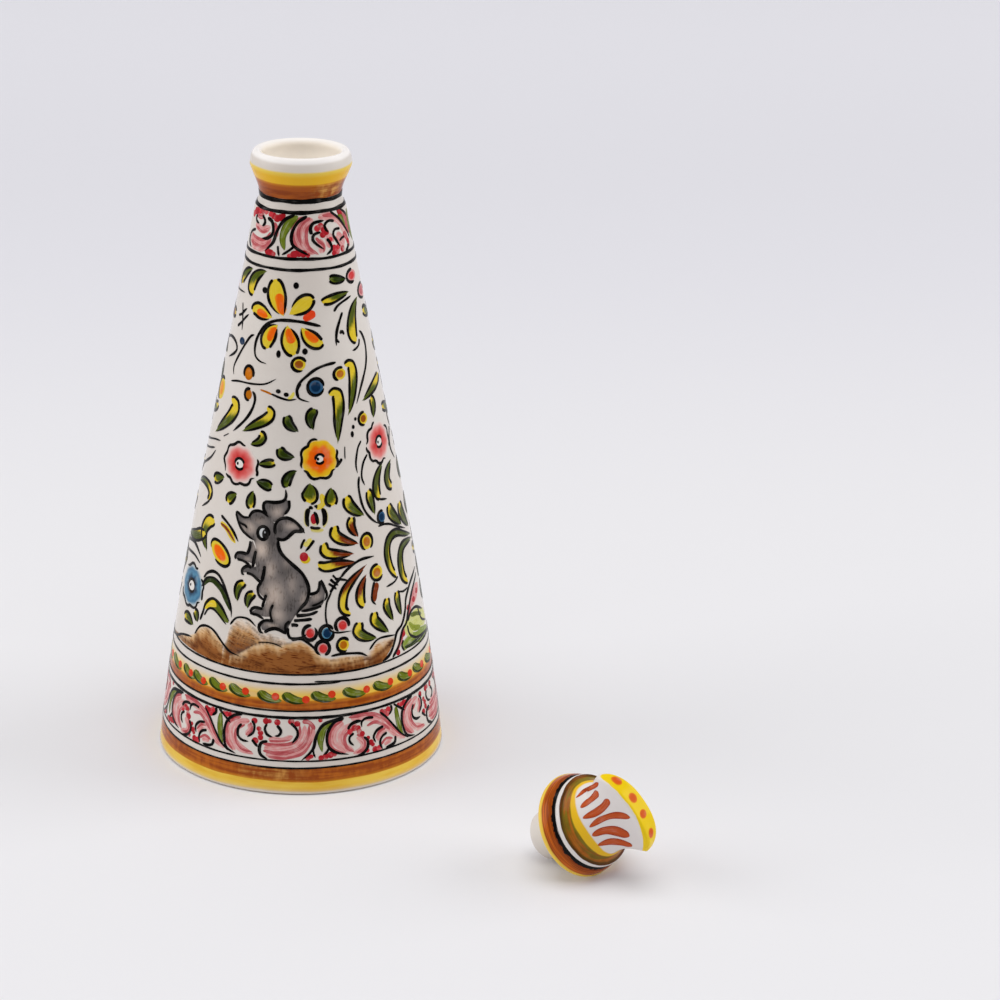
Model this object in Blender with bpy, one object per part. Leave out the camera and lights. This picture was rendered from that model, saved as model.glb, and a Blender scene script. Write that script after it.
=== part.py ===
"""Glazed earthenware oil cruet with its stopper taken out and laid on the table.

The bottle is one hollow thrown body: a slightly full cone, a drawn-in waist, a flared neck with
a thick rolled lip, and the cavity and throat inside. The stopper is one solid piece: a round
peg, a conical cap as wide as the lip, a raised collar and a pinched, fan-shaped knob.

Metres, +Z up. The origin is the centre of the bottle's flat base.
"""

import math

import bmesh
import bpy
import numpy as np
from mathutils import Matrix, Vector

# Bottle: outside
BASE_RADIUS = 0.0450
FOOT_ROUND = 0.0012
CONE_TOP_RADIUS = 0.0140
CONE_HEIGHT = 0.1756
BELLY = 0.0018
WAIST_RADIUS = 0.0125
WAIST_RISE = 0.0044

# Bottle: the flare above the waist and the lip rolled over its top
LIP_RADIUS = 0.01545
FLARE_RISE = 0.0093
LIP_ROLL_RISE = 0.0045
LIP_ROLL_OUTSIDE = 0.00185
LIP_ROLL_INSIDE = 0.0018

# Bottle: inside
WALL = 0.0045
FLOOR = 0.0060
FLOOR_ROUND = 0.0080
MOUTH_DROP = 0.0022
BORE_RADIUS = 0.0085
BORE_BELOW_WAIST = 0.0026
BORE_ABOVE_WAIST = 0.0014
THROAT_ENTRY = 0.0030

# Stopper: peg and cap, heights measured from the plane of the cap's widest circle
PEG_CLEARANCE = 0.0010
PEG_LENGTH = 0.0141
PEG_TAPER = 0.0003
PEG_ROUND = 0.0010
CAP_OVERHANG = 0.00015
CAP_EDGE_ROUND = 0.0010
FLANK_RADIUS = 0.0138
FLANK_HEIGHT = 0.0049
FLANK_BULGE = 0.0004
COLLAR_HEIGHT = 0.0022
COLLAR_PROUD = 0.0003
COLLAR_TOP_RADIUS = 0.0130
DOME_HEIGHT = 0.0021

# Stopper: knob
KNOB_FOOT_RADIUS = 0.0112
KNOB_PINCH_HALF_WIDTH = 0.0104
KNOB_TOP_HALF_WIDTH = 0.0138
KNOB_TOP_HALF_THICKNESS = 0.0034
KNOB_HEIGHT = 0.0170
KNOB_TOP_DROP = 0.0050
KNOB_TOP_RISE = 0.0006
KNOB_EDGE_ROUND = 0.0009
KNOB_LEAN = 0.0008

# Where the stopper lies, and how it is turned there
LYING_X = 0.0820
LYING_Y = -0.0946
LYING_AZIMUTH = -44.4
LYING_ROLL = 108.0

# Facets
BOTTLE_SIDES = 72
STOPPER_SIDES = 60
CURVE_STEPS = 5
CONE_STEPS = 12
KNOB_STEPS = 12

# The knob's pinch is this share of the way up it, and these powers and squareness values shape
# its faces, its arched top and the corners of its sections
PINCH_SHARE = 0.3
FACE_POWER = 2.3
ARCH_POWER = 2.4
FOOT_SQUARENESS = 2.0
TOP_SQUARENESS = 2.5

# The bottle's flank swells out from the straight cone by BELLY. These powers say how low the
# fullest height lies and how gently the swelling starts and ends
BELLY_LOWNESS = 0.66
BELLY_EASE = 1.5

# The rings that close the knob's arched top, as shares of its flat face
TOP_RING_SHARES = (0.8, 0.5, 0.2)

# Derived sizes
CONE_SLOPE = (BASE_RADIUS - CONE_TOP_RADIUS) / CONE_HEIGHT
WAIST_HEIGHT = CONE_HEIGHT + WAIST_RISE
LIP_HEIGHT = WAIST_HEIGHT + FLARE_RISE
CREST_HEIGHT = LIP_HEIGHT + LIP_ROLL_RISE
CREST_RADIUS = LIP_RADIUS - LIP_ROLL_OUTSIDE
MOUTH_RADIUS = CREST_RADIUS - LIP_ROLL_INSIDE
WALL_ACROSS = WALL * math.hypot(1.0, CONE_SLOPE)
BORE_BOTTOM = WAIST_HEIGHT - BORE_BELOW_WAIST
BORE_TOP = WAIST_HEIGHT + BORE_ABOVE_WAIST
PEG_RADIUS = BORE_RADIUS - PEG_CLEARANCE
CAP_RADIUS = LIP_RADIUS + CAP_OVERHANG
COLLAR_TOP = FLANK_HEIGHT + COLLAR_HEIGHT
KNOB_FOOT_HEIGHT = COLLAR_TOP + DOME_HEIGHT
KNOB_TOP_HEIGHT = KNOB_FOOT_HEIGHT + KNOB_HEIGHT


def cone_radius(z):
    """Outer radius of the cone at height z: a straight line plus the belly's smooth swelling."""
    share = min(max(z / CONE_HEIGHT, 0.0), 1.0)
    swelling = max(math.sin(math.pi * share**BELLY_LOWNESS), 0.0) ** BELLY_EASE
    return BASE_RADIUS - CONE_SLOPE * z + BELLY * swelling


def flank(start, stop, inset=0.0):
    """Points along the cone's side from one height to another, drawn in from it by inset."""
    return [(cone_radius(z) - inset, z) for z in np.linspace(start, stop, CONE_STEPS + 1)]


def quarter(centre, across, up, start, stop, steps=CURVE_STEPS):
    """Points on an ellipse about centre, with half-axes across and up, between two angles in degrees."""
    angles = np.radians(np.linspace(start, stop, steps + 1))
    return np.stack([centre[0] + across * np.cos(angles), centre[1] + up * np.sin(angles)], axis=1)


def sweep(start, start_way, stop, stop_way, steps=CURVE_STEPS):
    """A cubic curve from start to stop that leaves and arrives along the two given ways."""
    start, stop = np.array(start), np.array(stop)
    span = np.linalg.norm(stop - start)
    leave = span * np.array(start_way) / np.linalg.norm(start_way)
    arrive = span * np.array(stop_way) / np.linalg.norm(stop_way)
    t = np.linspace(0.0, 1.0, steps + 1)[:, None]
    return ((2 * t**3 - 3 * t**2 + 1) * start + (t**3 - 2 * t**2 + t) * leave
            + (3 * t**2 - 2 * t**3) * stop + (t**3 - t**2) * arrive)


def straight(start, stop, steps):
    """Evenly spaced points on a line."""
    t = np.linspace(0.0, 1.0, steps + 1)[:, None]
    return np.array(start) * (1.0 - t) + np.array(stop) * t


def join(*runs):
    """Chains runs of (radius, height) points and drops points that repeat the one before."""
    points = np.concatenate([np.asarray(run, dtype=float).reshape(-1, 2) for run in runs])
    keep = [0]
    for index in range(1, len(points)):
        if np.linalg.norm(points[index] - points[keep[-1]]) > 1e-6:
            keep.append(index)
    return points[keep]


def bottle_profile():
    """Half section of the bottle, from the centre of its base, up the outside and down the inside."""
    lean = (-CONE_SLOPE, 1.0)
    foot = quarter((BASE_RADIUS - FOOT_ROUND, FOOT_ROUND), FOOT_ROUND, FOOT_ROUND, -90, -10)
    cone_top = (CONE_TOP_RADIUS, CONE_HEIGHT)
    waist = (WAIST_RADIUS, WAIST_HEIGHT)
    lip = (LIP_RADIUS, LIP_HEIGHT)
    outside = join(
        [(0.0, 0.0)],
        foot,
        flank(2 * FOOT_ROUND, CONE_HEIGHT),
        sweep(cone_top, lean, waist, (0.0, 1.0)),
        sweep(waist, (0.0, 1.0), lip, (0.3, 1.0), CURVE_STEPS + 1),
        quarter((CREST_RADIUS, LIP_HEIGHT), LIP_ROLL_OUTSIDE, LIP_ROLL_RISE, 0, 90),
    )
    mouth = (MOUTH_RADIUS, CREST_HEIGHT - MOUTH_DROP)
    cavity = flank(BORE_BOTTOM - THROAT_ENTRY, FLOOR + FLOOR_ROUND, WALL_ACROSS)
    inside = join(
        quarter((CREST_RADIUS, mouth[1]), LIP_ROLL_INSIDE, MOUTH_DROP, 90, 180),
        sweep(mouth, (0.0, -1.0), (BORE_RADIUS, BORE_TOP), (0.0, -1.0)),
        sweep((BORE_RADIUS, BORE_BOTTOM), (0.0, -1.0), cavity[0], (CONE_SLOPE, -1.0), 3),
        cavity,
        quarter((cavity[-1][0] - FLOOR_ROUND, cavity[-1][1]), FLOOR_ROUND, FLOOR_ROUND, 0, -90),
        [(0.0, FLOOR)],
    )
    return join(outside, inside)


def revolve(name, profile, sides):
    """Spins a half section about Z into one closed skin with a single vertex at each pole."""
    mesh = bmesh.new()
    verts = [mesh.verts.new((radius, 0.0, height)) for radius, height in profile]
    edges = [mesh.edges.new(pair) for pair in zip(verts, verts[1:])]
    bmesh.ops.spin(mesh, geom=verts + edges, axis=(0, 0, 1), cent=(0, 0, 0), angle=2 * math.pi,
                   steps=sides, use_merge=True)
    bmesh.ops.remove_doubles(mesh, verts=mesh.verts, dist=1e-6)
    bmesh.ops.recalc_face_normals(mesh, faces=mesh.faces)
    return finish_mesh(name, mesh)


def finish_mesh(name, mesh):
    """Turns a bmesh into an object of that name, shaded smooth over its gentle edges."""
    data = bpy.data.meshes.new(name)
    mesh.to_mesh(data)
    mesh.free()
    data.shade_smooth()
    data.set_sharp_from_angle(angle=math.radians(40))
    piece = bpy.data.objects.new(name, data)
    bpy.context.scene.collection.objects.link(piece)
    return piece


def cap_profile():
    """(radius, height) stations of the peg, the cap's flank and the collar, from the peg's end up."""
    peg_round = quarter((PEG_RADIUS - PEG_ROUND, PEG_ROUND - PEG_LENGTH), PEG_ROUND, PEG_ROUND, -90, 0, 3)
    peg_root = (PEG_RADIUS + PEG_TAPER, -CAP_EDGE_ROUND)
    edge = quarter((CAP_RADIUS - CAP_EDGE_ROUND, 0.0), CAP_EDGE_ROUND, CAP_EDGE_ROUND, -90, 45, 6)
    flank_top = (FLANK_RADIUS, FLANK_HEIGHT)
    flank_line = straight(edge[-1], flank_top, 4)
    flank_line[:, 0] += FLANK_BULGE * np.sin(np.linspace(0.0, math.pi, len(flank_line)))
    collar_middle = ((FLANK_RADIUS + COLLAR_TOP_RADIUS) / 2 + COLLAR_PROUD, FLANK_HEIGHT + COLLAR_HEIGHT / 2)
    collar = [(FLANK_RADIUS + COLLAR_PROUD, FLANK_HEIGHT + COLLAR_HEIGHT / 6),
              collar_middle,
              (COLLAR_TOP_RADIUS + COLLAR_PROUD, COLLAR_TOP - COLLAR_HEIGHT / 6),
              (COLLAR_TOP_RADIUS, COLLAR_TOP)]
    dome = sweep((COLLAR_TOP_RADIUS, COLLAR_TOP), (-1.0, 1.0), (KNOB_FOOT_RADIUS, KNOB_FOOT_HEIGHT),
                 (-0.6, 1.0), 2)
    return join(peg_round, [peg_root], edge, flank_line, collar, dome)


def rounded_ring(half_width, half_thickness, squareness, angles):
    """A superellipse: a circle at squareness 2, with fuller corners above that."""
    cosine, sine = np.cos(angles), np.sin(angles)
    x = half_width * np.sign(cosine) * np.abs(cosine) ** (2.0 / squareness)
    y = half_thickness * np.sign(sine) * np.abs(sine) ** (2.0 / squareness)
    return x, y


def knob_widths(share):
    """Half width up the knob: from its foot in to the pinch, then out to the fan's top corners."""
    if share < PINCH_SHARE:
        t = share / PINCH_SHARE
        return KNOB_FOOT_RADIUS + (KNOB_PINCH_HALF_WIDTH - KNOB_FOOT_RADIUS) * t * (2.0 - t)
    t = (share - PINCH_SHARE) / (1.0 - PINCH_SHARE)
    growth = t * (2.0 + 3.0 * t - 2.0 * t**2) / 3.0
    return KNOB_PINCH_HALF_WIDTH + (KNOB_TOP_HALF_WIDTH - KNOB_PINCH_HALF_WIDTH) * growth


def top_height(x):
    """Height of the knob's arched top at a distance x from its middle."""
    across = x / KNOB_TOP_HALF_WIDTH
    return KNOB_TOP_HEIGHT - KNOB_TOP_DROP * np.abs(across) ** ARCH_POWER + KNOB_TOP_RISE * across


def knob_rings(angles):
    """Rings of the knob, each a share of the way from its round foot to its arched top."""
    rings = []
    for share in np.linspace(0.0, 1.0, KNOB_STEPS + 1)[1:]:
        half_width = knob_widths(share)
        closing = (1.0 - share) ** FACE_POWER
        half_thickness = KNOB_TOP_HALF_THICKNESS + (KNOB_FOOT_RADIUS - KNOB_TOP_HALF_THICKNESS) * closing
        squareness = FOOT_SQUARENESS + (TOP_SQUARENESS - FOOT_SQUARENESS) * share
        x, y = rounded_ring(half_width, half_thickness, squareness, angles)
        lean = KNOB_LEAN * min(1.0, share / PINCH_SHARE)
        edge = top_height(x * KNOB_TOP_HALF_WIDTH / half_width) - KNOB_EDGE_ROUND
        rings.append(np.stack([x - lean, y, KNOB_FOOT_HEIGHT + share * (edge - KNOB_FOOT_HEIGHT)], axis=1))
    for turn in np.radians([30, 60, 90]):
        inset = KNOB_EDGE_ROUND * (1.0 - math.cos(turn))
        half_width = KNOB_TOP_HALF_WIDTH - inset
        half_thickness = KNOB_TOP_HALF_THICKNESS - inset
        x, y = rounded_ring(half_width, half_thickness, TOP_SQUARENESS, angles)
        height = top_height(x) - KNOB_EDGE_ROUND * (1.0 - math.sin(turn))
        rings.append(np.stack([x - KNOB_LEAN, y, height], axis=1))
    flat_width = KNOB_TOP_HALF_WIDTH - KNOB_EDGE_ROUND
    flat_thickness = KNOB_TOP_HALF_THICKNESS - KNOB_EDGE_ROUND
    for size in TOP_RING_SHARES:
        x, y = rounded_ring(flat_width * size, flat_thickness * size, TOP_SQUARENESS, angles)
        rings.append(np.stack([x - KNOB_LEAN, y, top_height(x)], axis=1))
    return rings


def loft(name, rings, bottom, top):
    """Bridges a stack of rings with quads and closes both ends on a single point."""
    mesh = bmesh.new()
    rows = [[mesh.verts.new(Vector(point)) for point in ring] for ring in rings]
    sides = len(rows[0])
    for lower, upper in zip(rows, rows[1:]):
        for i in range(sides):
            j = (i + 1) % sides
            mesh.faces.new((lower[i], lower[j], upper[j], upper[i]))
    low, high = mesh.verts.new(bottom), mesh.verts.new(top)
    for i in range(sides):
        j = (i + 1) % sides
        mesh.faces.new((low, rows[0][j], rows[0][i]))
        mesh.faces.new((high, rows[-1][i], rows[-1][j]))
    bmesh.ops.recalc_face_normals(mesh, faces=mesh.faces)
    return finish_mesh(name, mesh)


def lying_matrix():
    """Places the stopper on the table, resting on the edge of its peg and on the edge of its cap.

    In the plane through its axis the peg's end and the cap's edge are two small circles, and
    the table is the line that touches both from below.
    """
    rise = (CAP_RADIUS - CAP_EDGE_ROUND) - (PEG_RADIUS - PEG_ROUND)
    run = PEG_LENGTH - PEG_ROUND
    tilt = math.atan2(rise, run) + math.asin((CAP_EDGE_ROUND - PEG_ROUND) / math.hypot(rise, run))
    height = CAP_EDGE_ROUND + (CAP_RADIUS - CAP_EDGE_ROUND) * math.cos(tilt)
    azimuth, roll = math.radians(LYING_AZIMUTH), math.radians(LYING_ROLL)
    axis = Vector((math.cos(azimuth) * math.cos(tilt), math.sin(azimuth) * math.cos(tilt), math.sin(tilt)))
    side = Vector((-math.sin(azimuth), math.cos(azimuth), 0.0))
    upward = axis.cross(side)
    width = side * math.cos(roll) + upward * math.sin(roll)
    depth = axis.cross(width)
    turn = Matrix((width, depth, axis)).transposed().to_4x4()
    return Matrix.Translation((LYING_X, LYING_Y, height)) @ turn


def glaze(name, colour, roughness):
    """A glazed ceramic finish."""
    material = bpy.data.materials.new(name)
    material.use_nodes = True
    shader = material.node_tree.nodes["Principled BSDF"]
    shader.inputs["Base Color"].default_value = (*colour, 1.0)
    shader.inputs["Roughness"].default_value = roughness
    shader.inputs["Metallic"].default_value = 0.0
    material.diffuse_color = (*colour, 1.0)
    return material


def build_bottle():
    """The hollow bottle, standing on the origin."""
    bottle = revolve("cruet_body", bottle_profile(), BOTTLE_SIDES)
    bottle.data.materials.append(glaze("cream_glaze", (0.83, 0.80, 0.74), 0.12))
    return bottle


def build_stopper():
    """The stopper, made upright about its own axis and then laid on the table."""
    angles = np.linspace(0.0, 2.0 * math.pi, STOPPER_SIDES, endpoint=False)
    rings = []
    for radius, height in cap_profile():
        x, y = rounded_ring(radius, radius, FOOT_SQUARENESS, angles)
        rings.append(np.stack([x, y, np.full_like(x, height)], axis=1))
    rings += knob_rings(angles)
    stopper = loft("stopper", rings, (0.0, 0.0, -PEG_LENGTH), (-KNOB_LEAN, 0.0, KNOB_TOP_HEIGHT))
    stopper.matrix_world = lying_matrix()
    stopper.data.materials.append(glaze("banded_glaze", (0.80, 0.62, 0.30), 0.14))
    return stopper


def main():
    for leftover in list(bpy.data.objects):
        bpy.data.objects.remove(leftover, do_unlink=True)
    for piece in (build_bottle(), build_stopper()):
        print(piece.name, len(piece.data.polygons), "faces")


main()
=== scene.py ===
# %% [markdown]
# A hand-painted oil cruet
#
# The real object is earthenware: a hollow cone thrown on a wheel, dipped in a creamy white
# glaze, painted with a brush and fired once more. Its stopper lies beside it on the table.
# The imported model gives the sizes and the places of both. Here both get finer skins, and the
# painting is laid on them stroke by stroke, so each line stays crisp from any distance.

import bpy
import numpy as np
from mathutils import Matrix, Vector


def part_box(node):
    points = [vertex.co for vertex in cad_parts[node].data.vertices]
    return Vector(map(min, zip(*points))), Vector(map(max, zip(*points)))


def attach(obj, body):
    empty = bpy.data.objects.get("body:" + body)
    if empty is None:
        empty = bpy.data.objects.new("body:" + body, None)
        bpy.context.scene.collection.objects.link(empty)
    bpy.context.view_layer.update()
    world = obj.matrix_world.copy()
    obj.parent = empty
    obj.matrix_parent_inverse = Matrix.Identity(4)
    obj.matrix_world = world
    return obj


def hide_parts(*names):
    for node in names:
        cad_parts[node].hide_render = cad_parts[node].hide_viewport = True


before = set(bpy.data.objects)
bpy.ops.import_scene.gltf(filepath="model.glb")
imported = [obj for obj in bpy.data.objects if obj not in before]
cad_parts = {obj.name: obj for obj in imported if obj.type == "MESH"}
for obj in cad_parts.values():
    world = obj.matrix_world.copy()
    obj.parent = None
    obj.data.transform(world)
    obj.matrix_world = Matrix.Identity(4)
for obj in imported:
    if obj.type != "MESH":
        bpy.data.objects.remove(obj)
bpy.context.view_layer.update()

# %% [markdown]
# Shader maths as Python expressions
#
# A material is a web of nodes. Written out node by node it is hard to read, so a small class
# wraps one output of a node and turns +, - and * into Math nodes. Everything else comes from one
# method that takes a node's type, its settings and the values or links of its inputs.


# %% A wrapped socket
class Value:
    """A number that changes over a surface. Sums and products of these add Math nodes."""

    def __init__(self, tree, socket):
        self.tree, self.socket = tree, socket

    def math(self, operation, first, second=0.0):
        """One Math node on two numbers or values."""
        node = self.tree.add("ShaderNodeMath", {"operation": operation}, {0: first, 1: second})
        return Value(self.tree, node.outputs[0])

    def __add__(self, other):
        return self.math("ADD", self, other)

    def __sub__(self, other):
        return self.math("SUBTRACT", self, other)

    def __rsub__(self, other):
        return self.math("SUBTRACT", other, self)

    def __mul__(self, other):
        return self.math("MULTIPLY", self, other)

    __radd__ = __add__
    __rmul__ = __mul__


# %% The tree of a material
class Tree:
    """The node tree of one material, with its Principled shader at hand."""

    def __init__(self, name):
        self.material = bpy.data.materials.new(name)
        self.material.use_nodes = True
        self.nodes = self.material.node_tree.nodes
        self.links = self.material.node_tree.links
        self.shader = self.nodes["Principled BSDF"]

    def add(self, kind, settings, inputs):
        """Adds a node: its settings go in first, then a value or a link for each input."""
        node = self.nodes.new(kind)
        for key, setting in settings.items():
            setattr(node, key, setting)
        for key, given in inputs.items():
            self.feed(node.inputs[key], given)
        return node

    def feed(self, socket, given):
        """Links a value to a socket, or sets a plain number, colour or vector on it."""
        if isinstance(given, Value):
            self.links.new(given.socket, socket)
        else:
            socket.default_value = given

    def place(self):
        """Position on the piece, in metres."""
        return Value(self, self.add("ShaderNodeTexCoord", {}, {}).outputs["Object"])

    def attribute(self, name, output):
        """What was written on the points of the piece under a name."""
        node = self.add("ShaderNodeAttribute", {"attribute_name": name}, {})
        return Value(self, node.outputs[output])

    def parts(self, vector):
        """The three numbers of a vector."""
        node = self.add("ShaderNodeSeparateXYZ", {}, {0: vector})
        return [Value(self, output) for output in node.outputs]

    def noise(self, vector, scale, detail=2.0):
        """Soft noise from 0 to 1: the larger its scale, the finer its grain."""
        node = self.add("ShaderNodeTexNoise", {}, {"Vector": vector, "Scale": scale, "Detail": detail})
        return Value(self, node.outputs["Fac"])

    def drawn(self, vector, fineness, detail=2.0):
        """Noise drawn out into streaks: as fine along each axis as its number says."""
        node = self.add("ShaderNodeVectorMath", {"operation": "MULTIPLY"}, {0: vector, 1: fineness})
        return self.noise(Value(self, node.outputs[0]), 1.0, detail)

    def ramp(self, value, low, high, start=0.0, stop=1.0):
        """A smooth step: start below low, stop above high."""
        node = self.add("ShaderNodeMapRange", {"interpolation_type": "SMOOTHSTEP"},
                        {0: value, 1: low, 2: high, 3: start, 4: stop})
        return Value(self, node.outputs[0])

    def mix(self, share, first, second):
        """A colour between two colours."""
        node = self.add("ShaderNodeMix", {"data_type": "RGBA"}, {0: share, 6: first, 7: second})
        return Value(self, node.outputs[2])

    def finish(self, colour, roughness, normal):
        """Feeds the three results to the shader."""
        self.feed(self.shader.inputs["Base Color"], colour)
        self.feed(self.shader.inputs["Roughness"], roughness)
        self.feed(self.shader.inputs["Normal"], normal)
        return self.material


# %% A colour turned into light
def paint(red, green, blue):
    """A colour written as screen values from 0 to 255, turned into light."""
    screen = np.array([red, green, blue]) / 255.0
    light = np.where(screen > 0.04045, ((screen + 0.055) / 1.055) ** 2.4, screen / 12.92)
    return (*light.tolist(), 1.0)


# %% [markdown]
# The colours in the painter's dish
#
# Few pigments: manganese black for the lines, copper green, antimony yellow, iron brown and
# orange, a pink and a deep red, and cobalt blue. The glaze under them is a warm white.

# %% Colours
CREAM = paint(224, 217, 209)
# Painted light: the lip's top white, lighter than the cream glaze because the lamp above lights it.
LIP_LIT_WHITE = paint(248, 243, 239)
CLAY = paint(214, 200, 182)
BLACK = paint(7, 6, 6)
GREEN = paint(92, 104, 22)
DARK_GREEN = paint(42, 56, 10)
YELLOW = paint(226, 198, 50)
ORANGE = paint(238, 100, 14)
BAND_YELLOW = paint(240, 202, 82)
GOLDEN = paint(216, 140, 30)
BAND_BROWN = paint(150, 70, 16)
BAND_AMBER = paint(216, 158, 78)
BROWN = paint(126, 50, 10)
OCHRE = paint(184, 106, 10)
PINK = paint(190, 92, 96)
ROSE = paint(220, 150, 148)
RED = paint(178, 36, 46)
LIGHT_RED = paint(208, 54, 52)
DOT_RED = paint(220, 64, 30)
BLUE = paint(12, 46, 78)
PALE_BLUE = paint(84, 142, 172)
FUR = paint(112, 106, 104)
TAN = paint(212, 166, 112)
EARTH = paint(152, 94, 46)
DARK_EARTH = paint(96, 46, 16)
print("cream glaze, screen 224 217 209, in light:", [round(part, 3) for part in CREAM[:3]])

# %% [markdown]
# The glaze
#
# The same clear, glossy coat lies over the bare white and over the paint, so both materials
# share it: a low roughness that drifts a little, and a very shallow ripple as on a dipped pot.
# The ripple reads Object coordinates, so it runs on unbroken from the white to the paint.


# %% Shared gloss
def gloss(tree, shine=0.12):
    """Roughness and normal of the clear glaze, and how strongly it mirrors."""
    place = tree.place()
    drift = tree.noise(place, 90.0)
    ripple = tree.noise(place, 150.0, 1.0)
    bump = tree.add("ShaderNodeBump", {}, {"Strength": 0.25, "Distance": 0.0002, "Height": ripple})
    tree.shader.inputs["Specular IOR Level"].default_value = shine
    return 0.10 + drift * 0.10, Value(tree, bump.outputs["Normal"])


def band(tree, height, low, high, soft=0.15):
    """One between two heights, zero outside, with edges as soft as a loaded brush leaves them."""
    return tree.ramp(height, low - soft, low + soft) * tree.ramp(height, high - soft, high + soft, 1.0, 0.0)


def streaked(tree, place, first, second):
    """Two browns dragged into each other along the turn of the wheel."""
    drag = tree.drawn(place, (60.0, 60.0, 1100.0), 3.0)
    blot = tree.drawn(place, (500.0, 500.0, 220.0))
    return tree.mix(tree.ramp(drag * 0.65 + blot * 0.35, 0.40, 0.64), first, second)


# %% [markdown]
# White glaze with its plain bands
#
# The lip's top and the inside of the mouth are painted lighter than the cream: painted light, as the
# lamp above lights the lip, and painted lightening that lifts the shade in the mouth. The coloured bands run
# round the whole pot at fixed heights, so the material paints them by height. A slow noise moves each
# edge up and down by a fraction of a millimetre, as a hand does while the wheel turns. Near
# the middle of the front the foot band was wiped thinner. The attribute outside is one on the
# outer skin and zero within, where no band is painted.

# %% Bottle glaze
FOOT_YELLOW = (1.1, 4.2)
FOOT_BROWN = (4.2, 8.7)
GARLAND_BROWN = (26.9, 30.2)
GARLAND_FADE = (31.1, 35.5)
NECK_BROWN = (181.2, 186.2)
NECK_YELLOW = (185.7, 190.3)
BARE_FOOT = (0.1, 0.7)
# LIP_EDGE, MOUTH_EDGE and DEEP_INSIDE are heights where the painted light on the lip and inside the mouth
# begins.
LIP_EDGE = (192.2, 193.3)
MOUTH_EDGE = (192.0, 193.6)
DEEP_INSIDE = (60.0, 100.0)
WIPED_FROM, WIPED_TO = (-21.0, -16.0), (-6.0, 4.0)
RUBBED_FROM = (2.0, 7.0)


def bottle_glaze():
    """White, then each band laid over what lies below it, as a mix by the band's two soft edges."""
    tree = Tree("cream_glaze_bottle")
    place = tree.place()
    outside = tree.attribute("outside", "Fac")
    across, deep, up = (part * 1000.0 for part in tree.parts(place))
    sway = tree.drawn(place, (45.0, 45.0, 20.0))
    height = up + (sway - 0.5) * 0.9
    cloud = tree.noise(place, 30.0, 3.0)
    white = tree.mix(tree.ramp(cloud, 0.35, 0.7), CREAM, paint(219, 210, 201))
    # Painted light: the lip's top is painted whiter than the flank, because the lamp above lights it.
    white = tree.mix(tree.ramp(height, *LIP_EDGE), white, LIP_LIT_WHITE)
    # Painted light: the inside of the mouth is painted lighter to lift the shade that falls in it.
    inside = tree.mix(tree.ramp(height, *MOUTH_EDGE), paint(252, 243, 230), LIP_LIT_WHITE)
    white = tree.mix((1.0 - outside) * tree.ramp(height, *DEEP_INSIDE), white, inside)
    brown = streaked(tree, place, BAND_BROWN, paint(188, 102, 26))
    amber = streaked(tree, place, BAND_BROWN, BAND_AMBER)
    wiped = tree.ramp(across, *WIPED_FROM) * tree.ramp(across, *WIPED_TO, 1.0, 0.0)
    wiped = wiped * tree.ramp(deep, -30.0, -20.0, 1.0, 0.0)
    wash = tree.drawn(place, (70.0, 70.0, 420.0), 3.0)
    yellow = tree.mix(tree.ramp(wash, 0.35, 0.65), BAND_YELLOW, paint(232, 184, 58))

    foot = tree.mix(wiped, brown, amber)
    foot = tree.mix(tree.ramp(height, 4.1, 5.4, 0.6, 0.0), foot, GOLDEN)
    pale = band(tree, height, FOOT_YELLOW[0], FOOT_YELLOW[1] + 1.0, 0.45)
    colour = tree.mix(pale * tree.ramp(height, 0.8, 2.6, 0.7, 1.0), white, yellow)
    colour = tree.mix(band(tree, height, *FOOT_BROWN, 0.14), colour, foot)

    garland = tree.ramp(height, *GARLAND_FADE, 1.0, 0.0) * tree.ramp(height, 26.7, 27.1)
    colour = tree.mix(garland * (1.0 - tree.ramp(wash, 0.5, 0.7) * 0.25), colour, yellow)
    low_brown = tree.mix(tree.ramp(height, 28.7, 30.3, 0.0, 0.8), brown, GOLDEN)
    colour = tree.mix(band(tree, height, *GARLAND_BROWN, 0.35), colour, low_brown)

    rub = tree.ramp(across, *RUBBED_FROM) * tree.ramp(deep, -8.0, -4.0, 1.0, 0.0)
    neck = tree.mix(tree.ramp(height, 188.2, 190.4), paint(236, 184, 42), paint(238, 208, 92))
    colour = tree.mix(band(tree, height, NECK_YELLOW[0] - 1.0, NECK_YELLOW[1], 0.4) * outside, colour, neck)
    dark = tree.mix(tree.ramp(wash, 0.4, 0.6), paint(138, 62, 18), paint(170, 86, 26))
    dark = tree.mix(rub, dark, amber)
    dark = tree.mix(tree.ramp(height, 184.9, 186.6), dark, GOLDEN)
    colour = tree.mix(band(tree, height, *NECK_BROWN, 0.2) * outside, colour, dark)

    colour = tree.mix(tree.ramp(height, *BARE_FOOT, 1.0, 0.0), colour, CLAY)
    roughness, normal = gloss(tree)
    bare = tree.ramp(height, *BARE_FOOT, 0.5, 0.0)
    return tree.finish(colour, roughness + bare, normal)


# %% [markdown]
# Brush paint
#
# Every painted patch carries two things on its points: the pigment, with how much of it there
# is, and where the point lies along and across its stroke. Noise drawn out along the stroke
# gives the streaks of the hairs. Where the paint is thin the white shows through, and where
# it pooled the pigment lies twice: its colour times itself, which is deeper and never grey.
# Watery paint thins and pools by that number; below zero it pools by as much but never thins.


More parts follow.
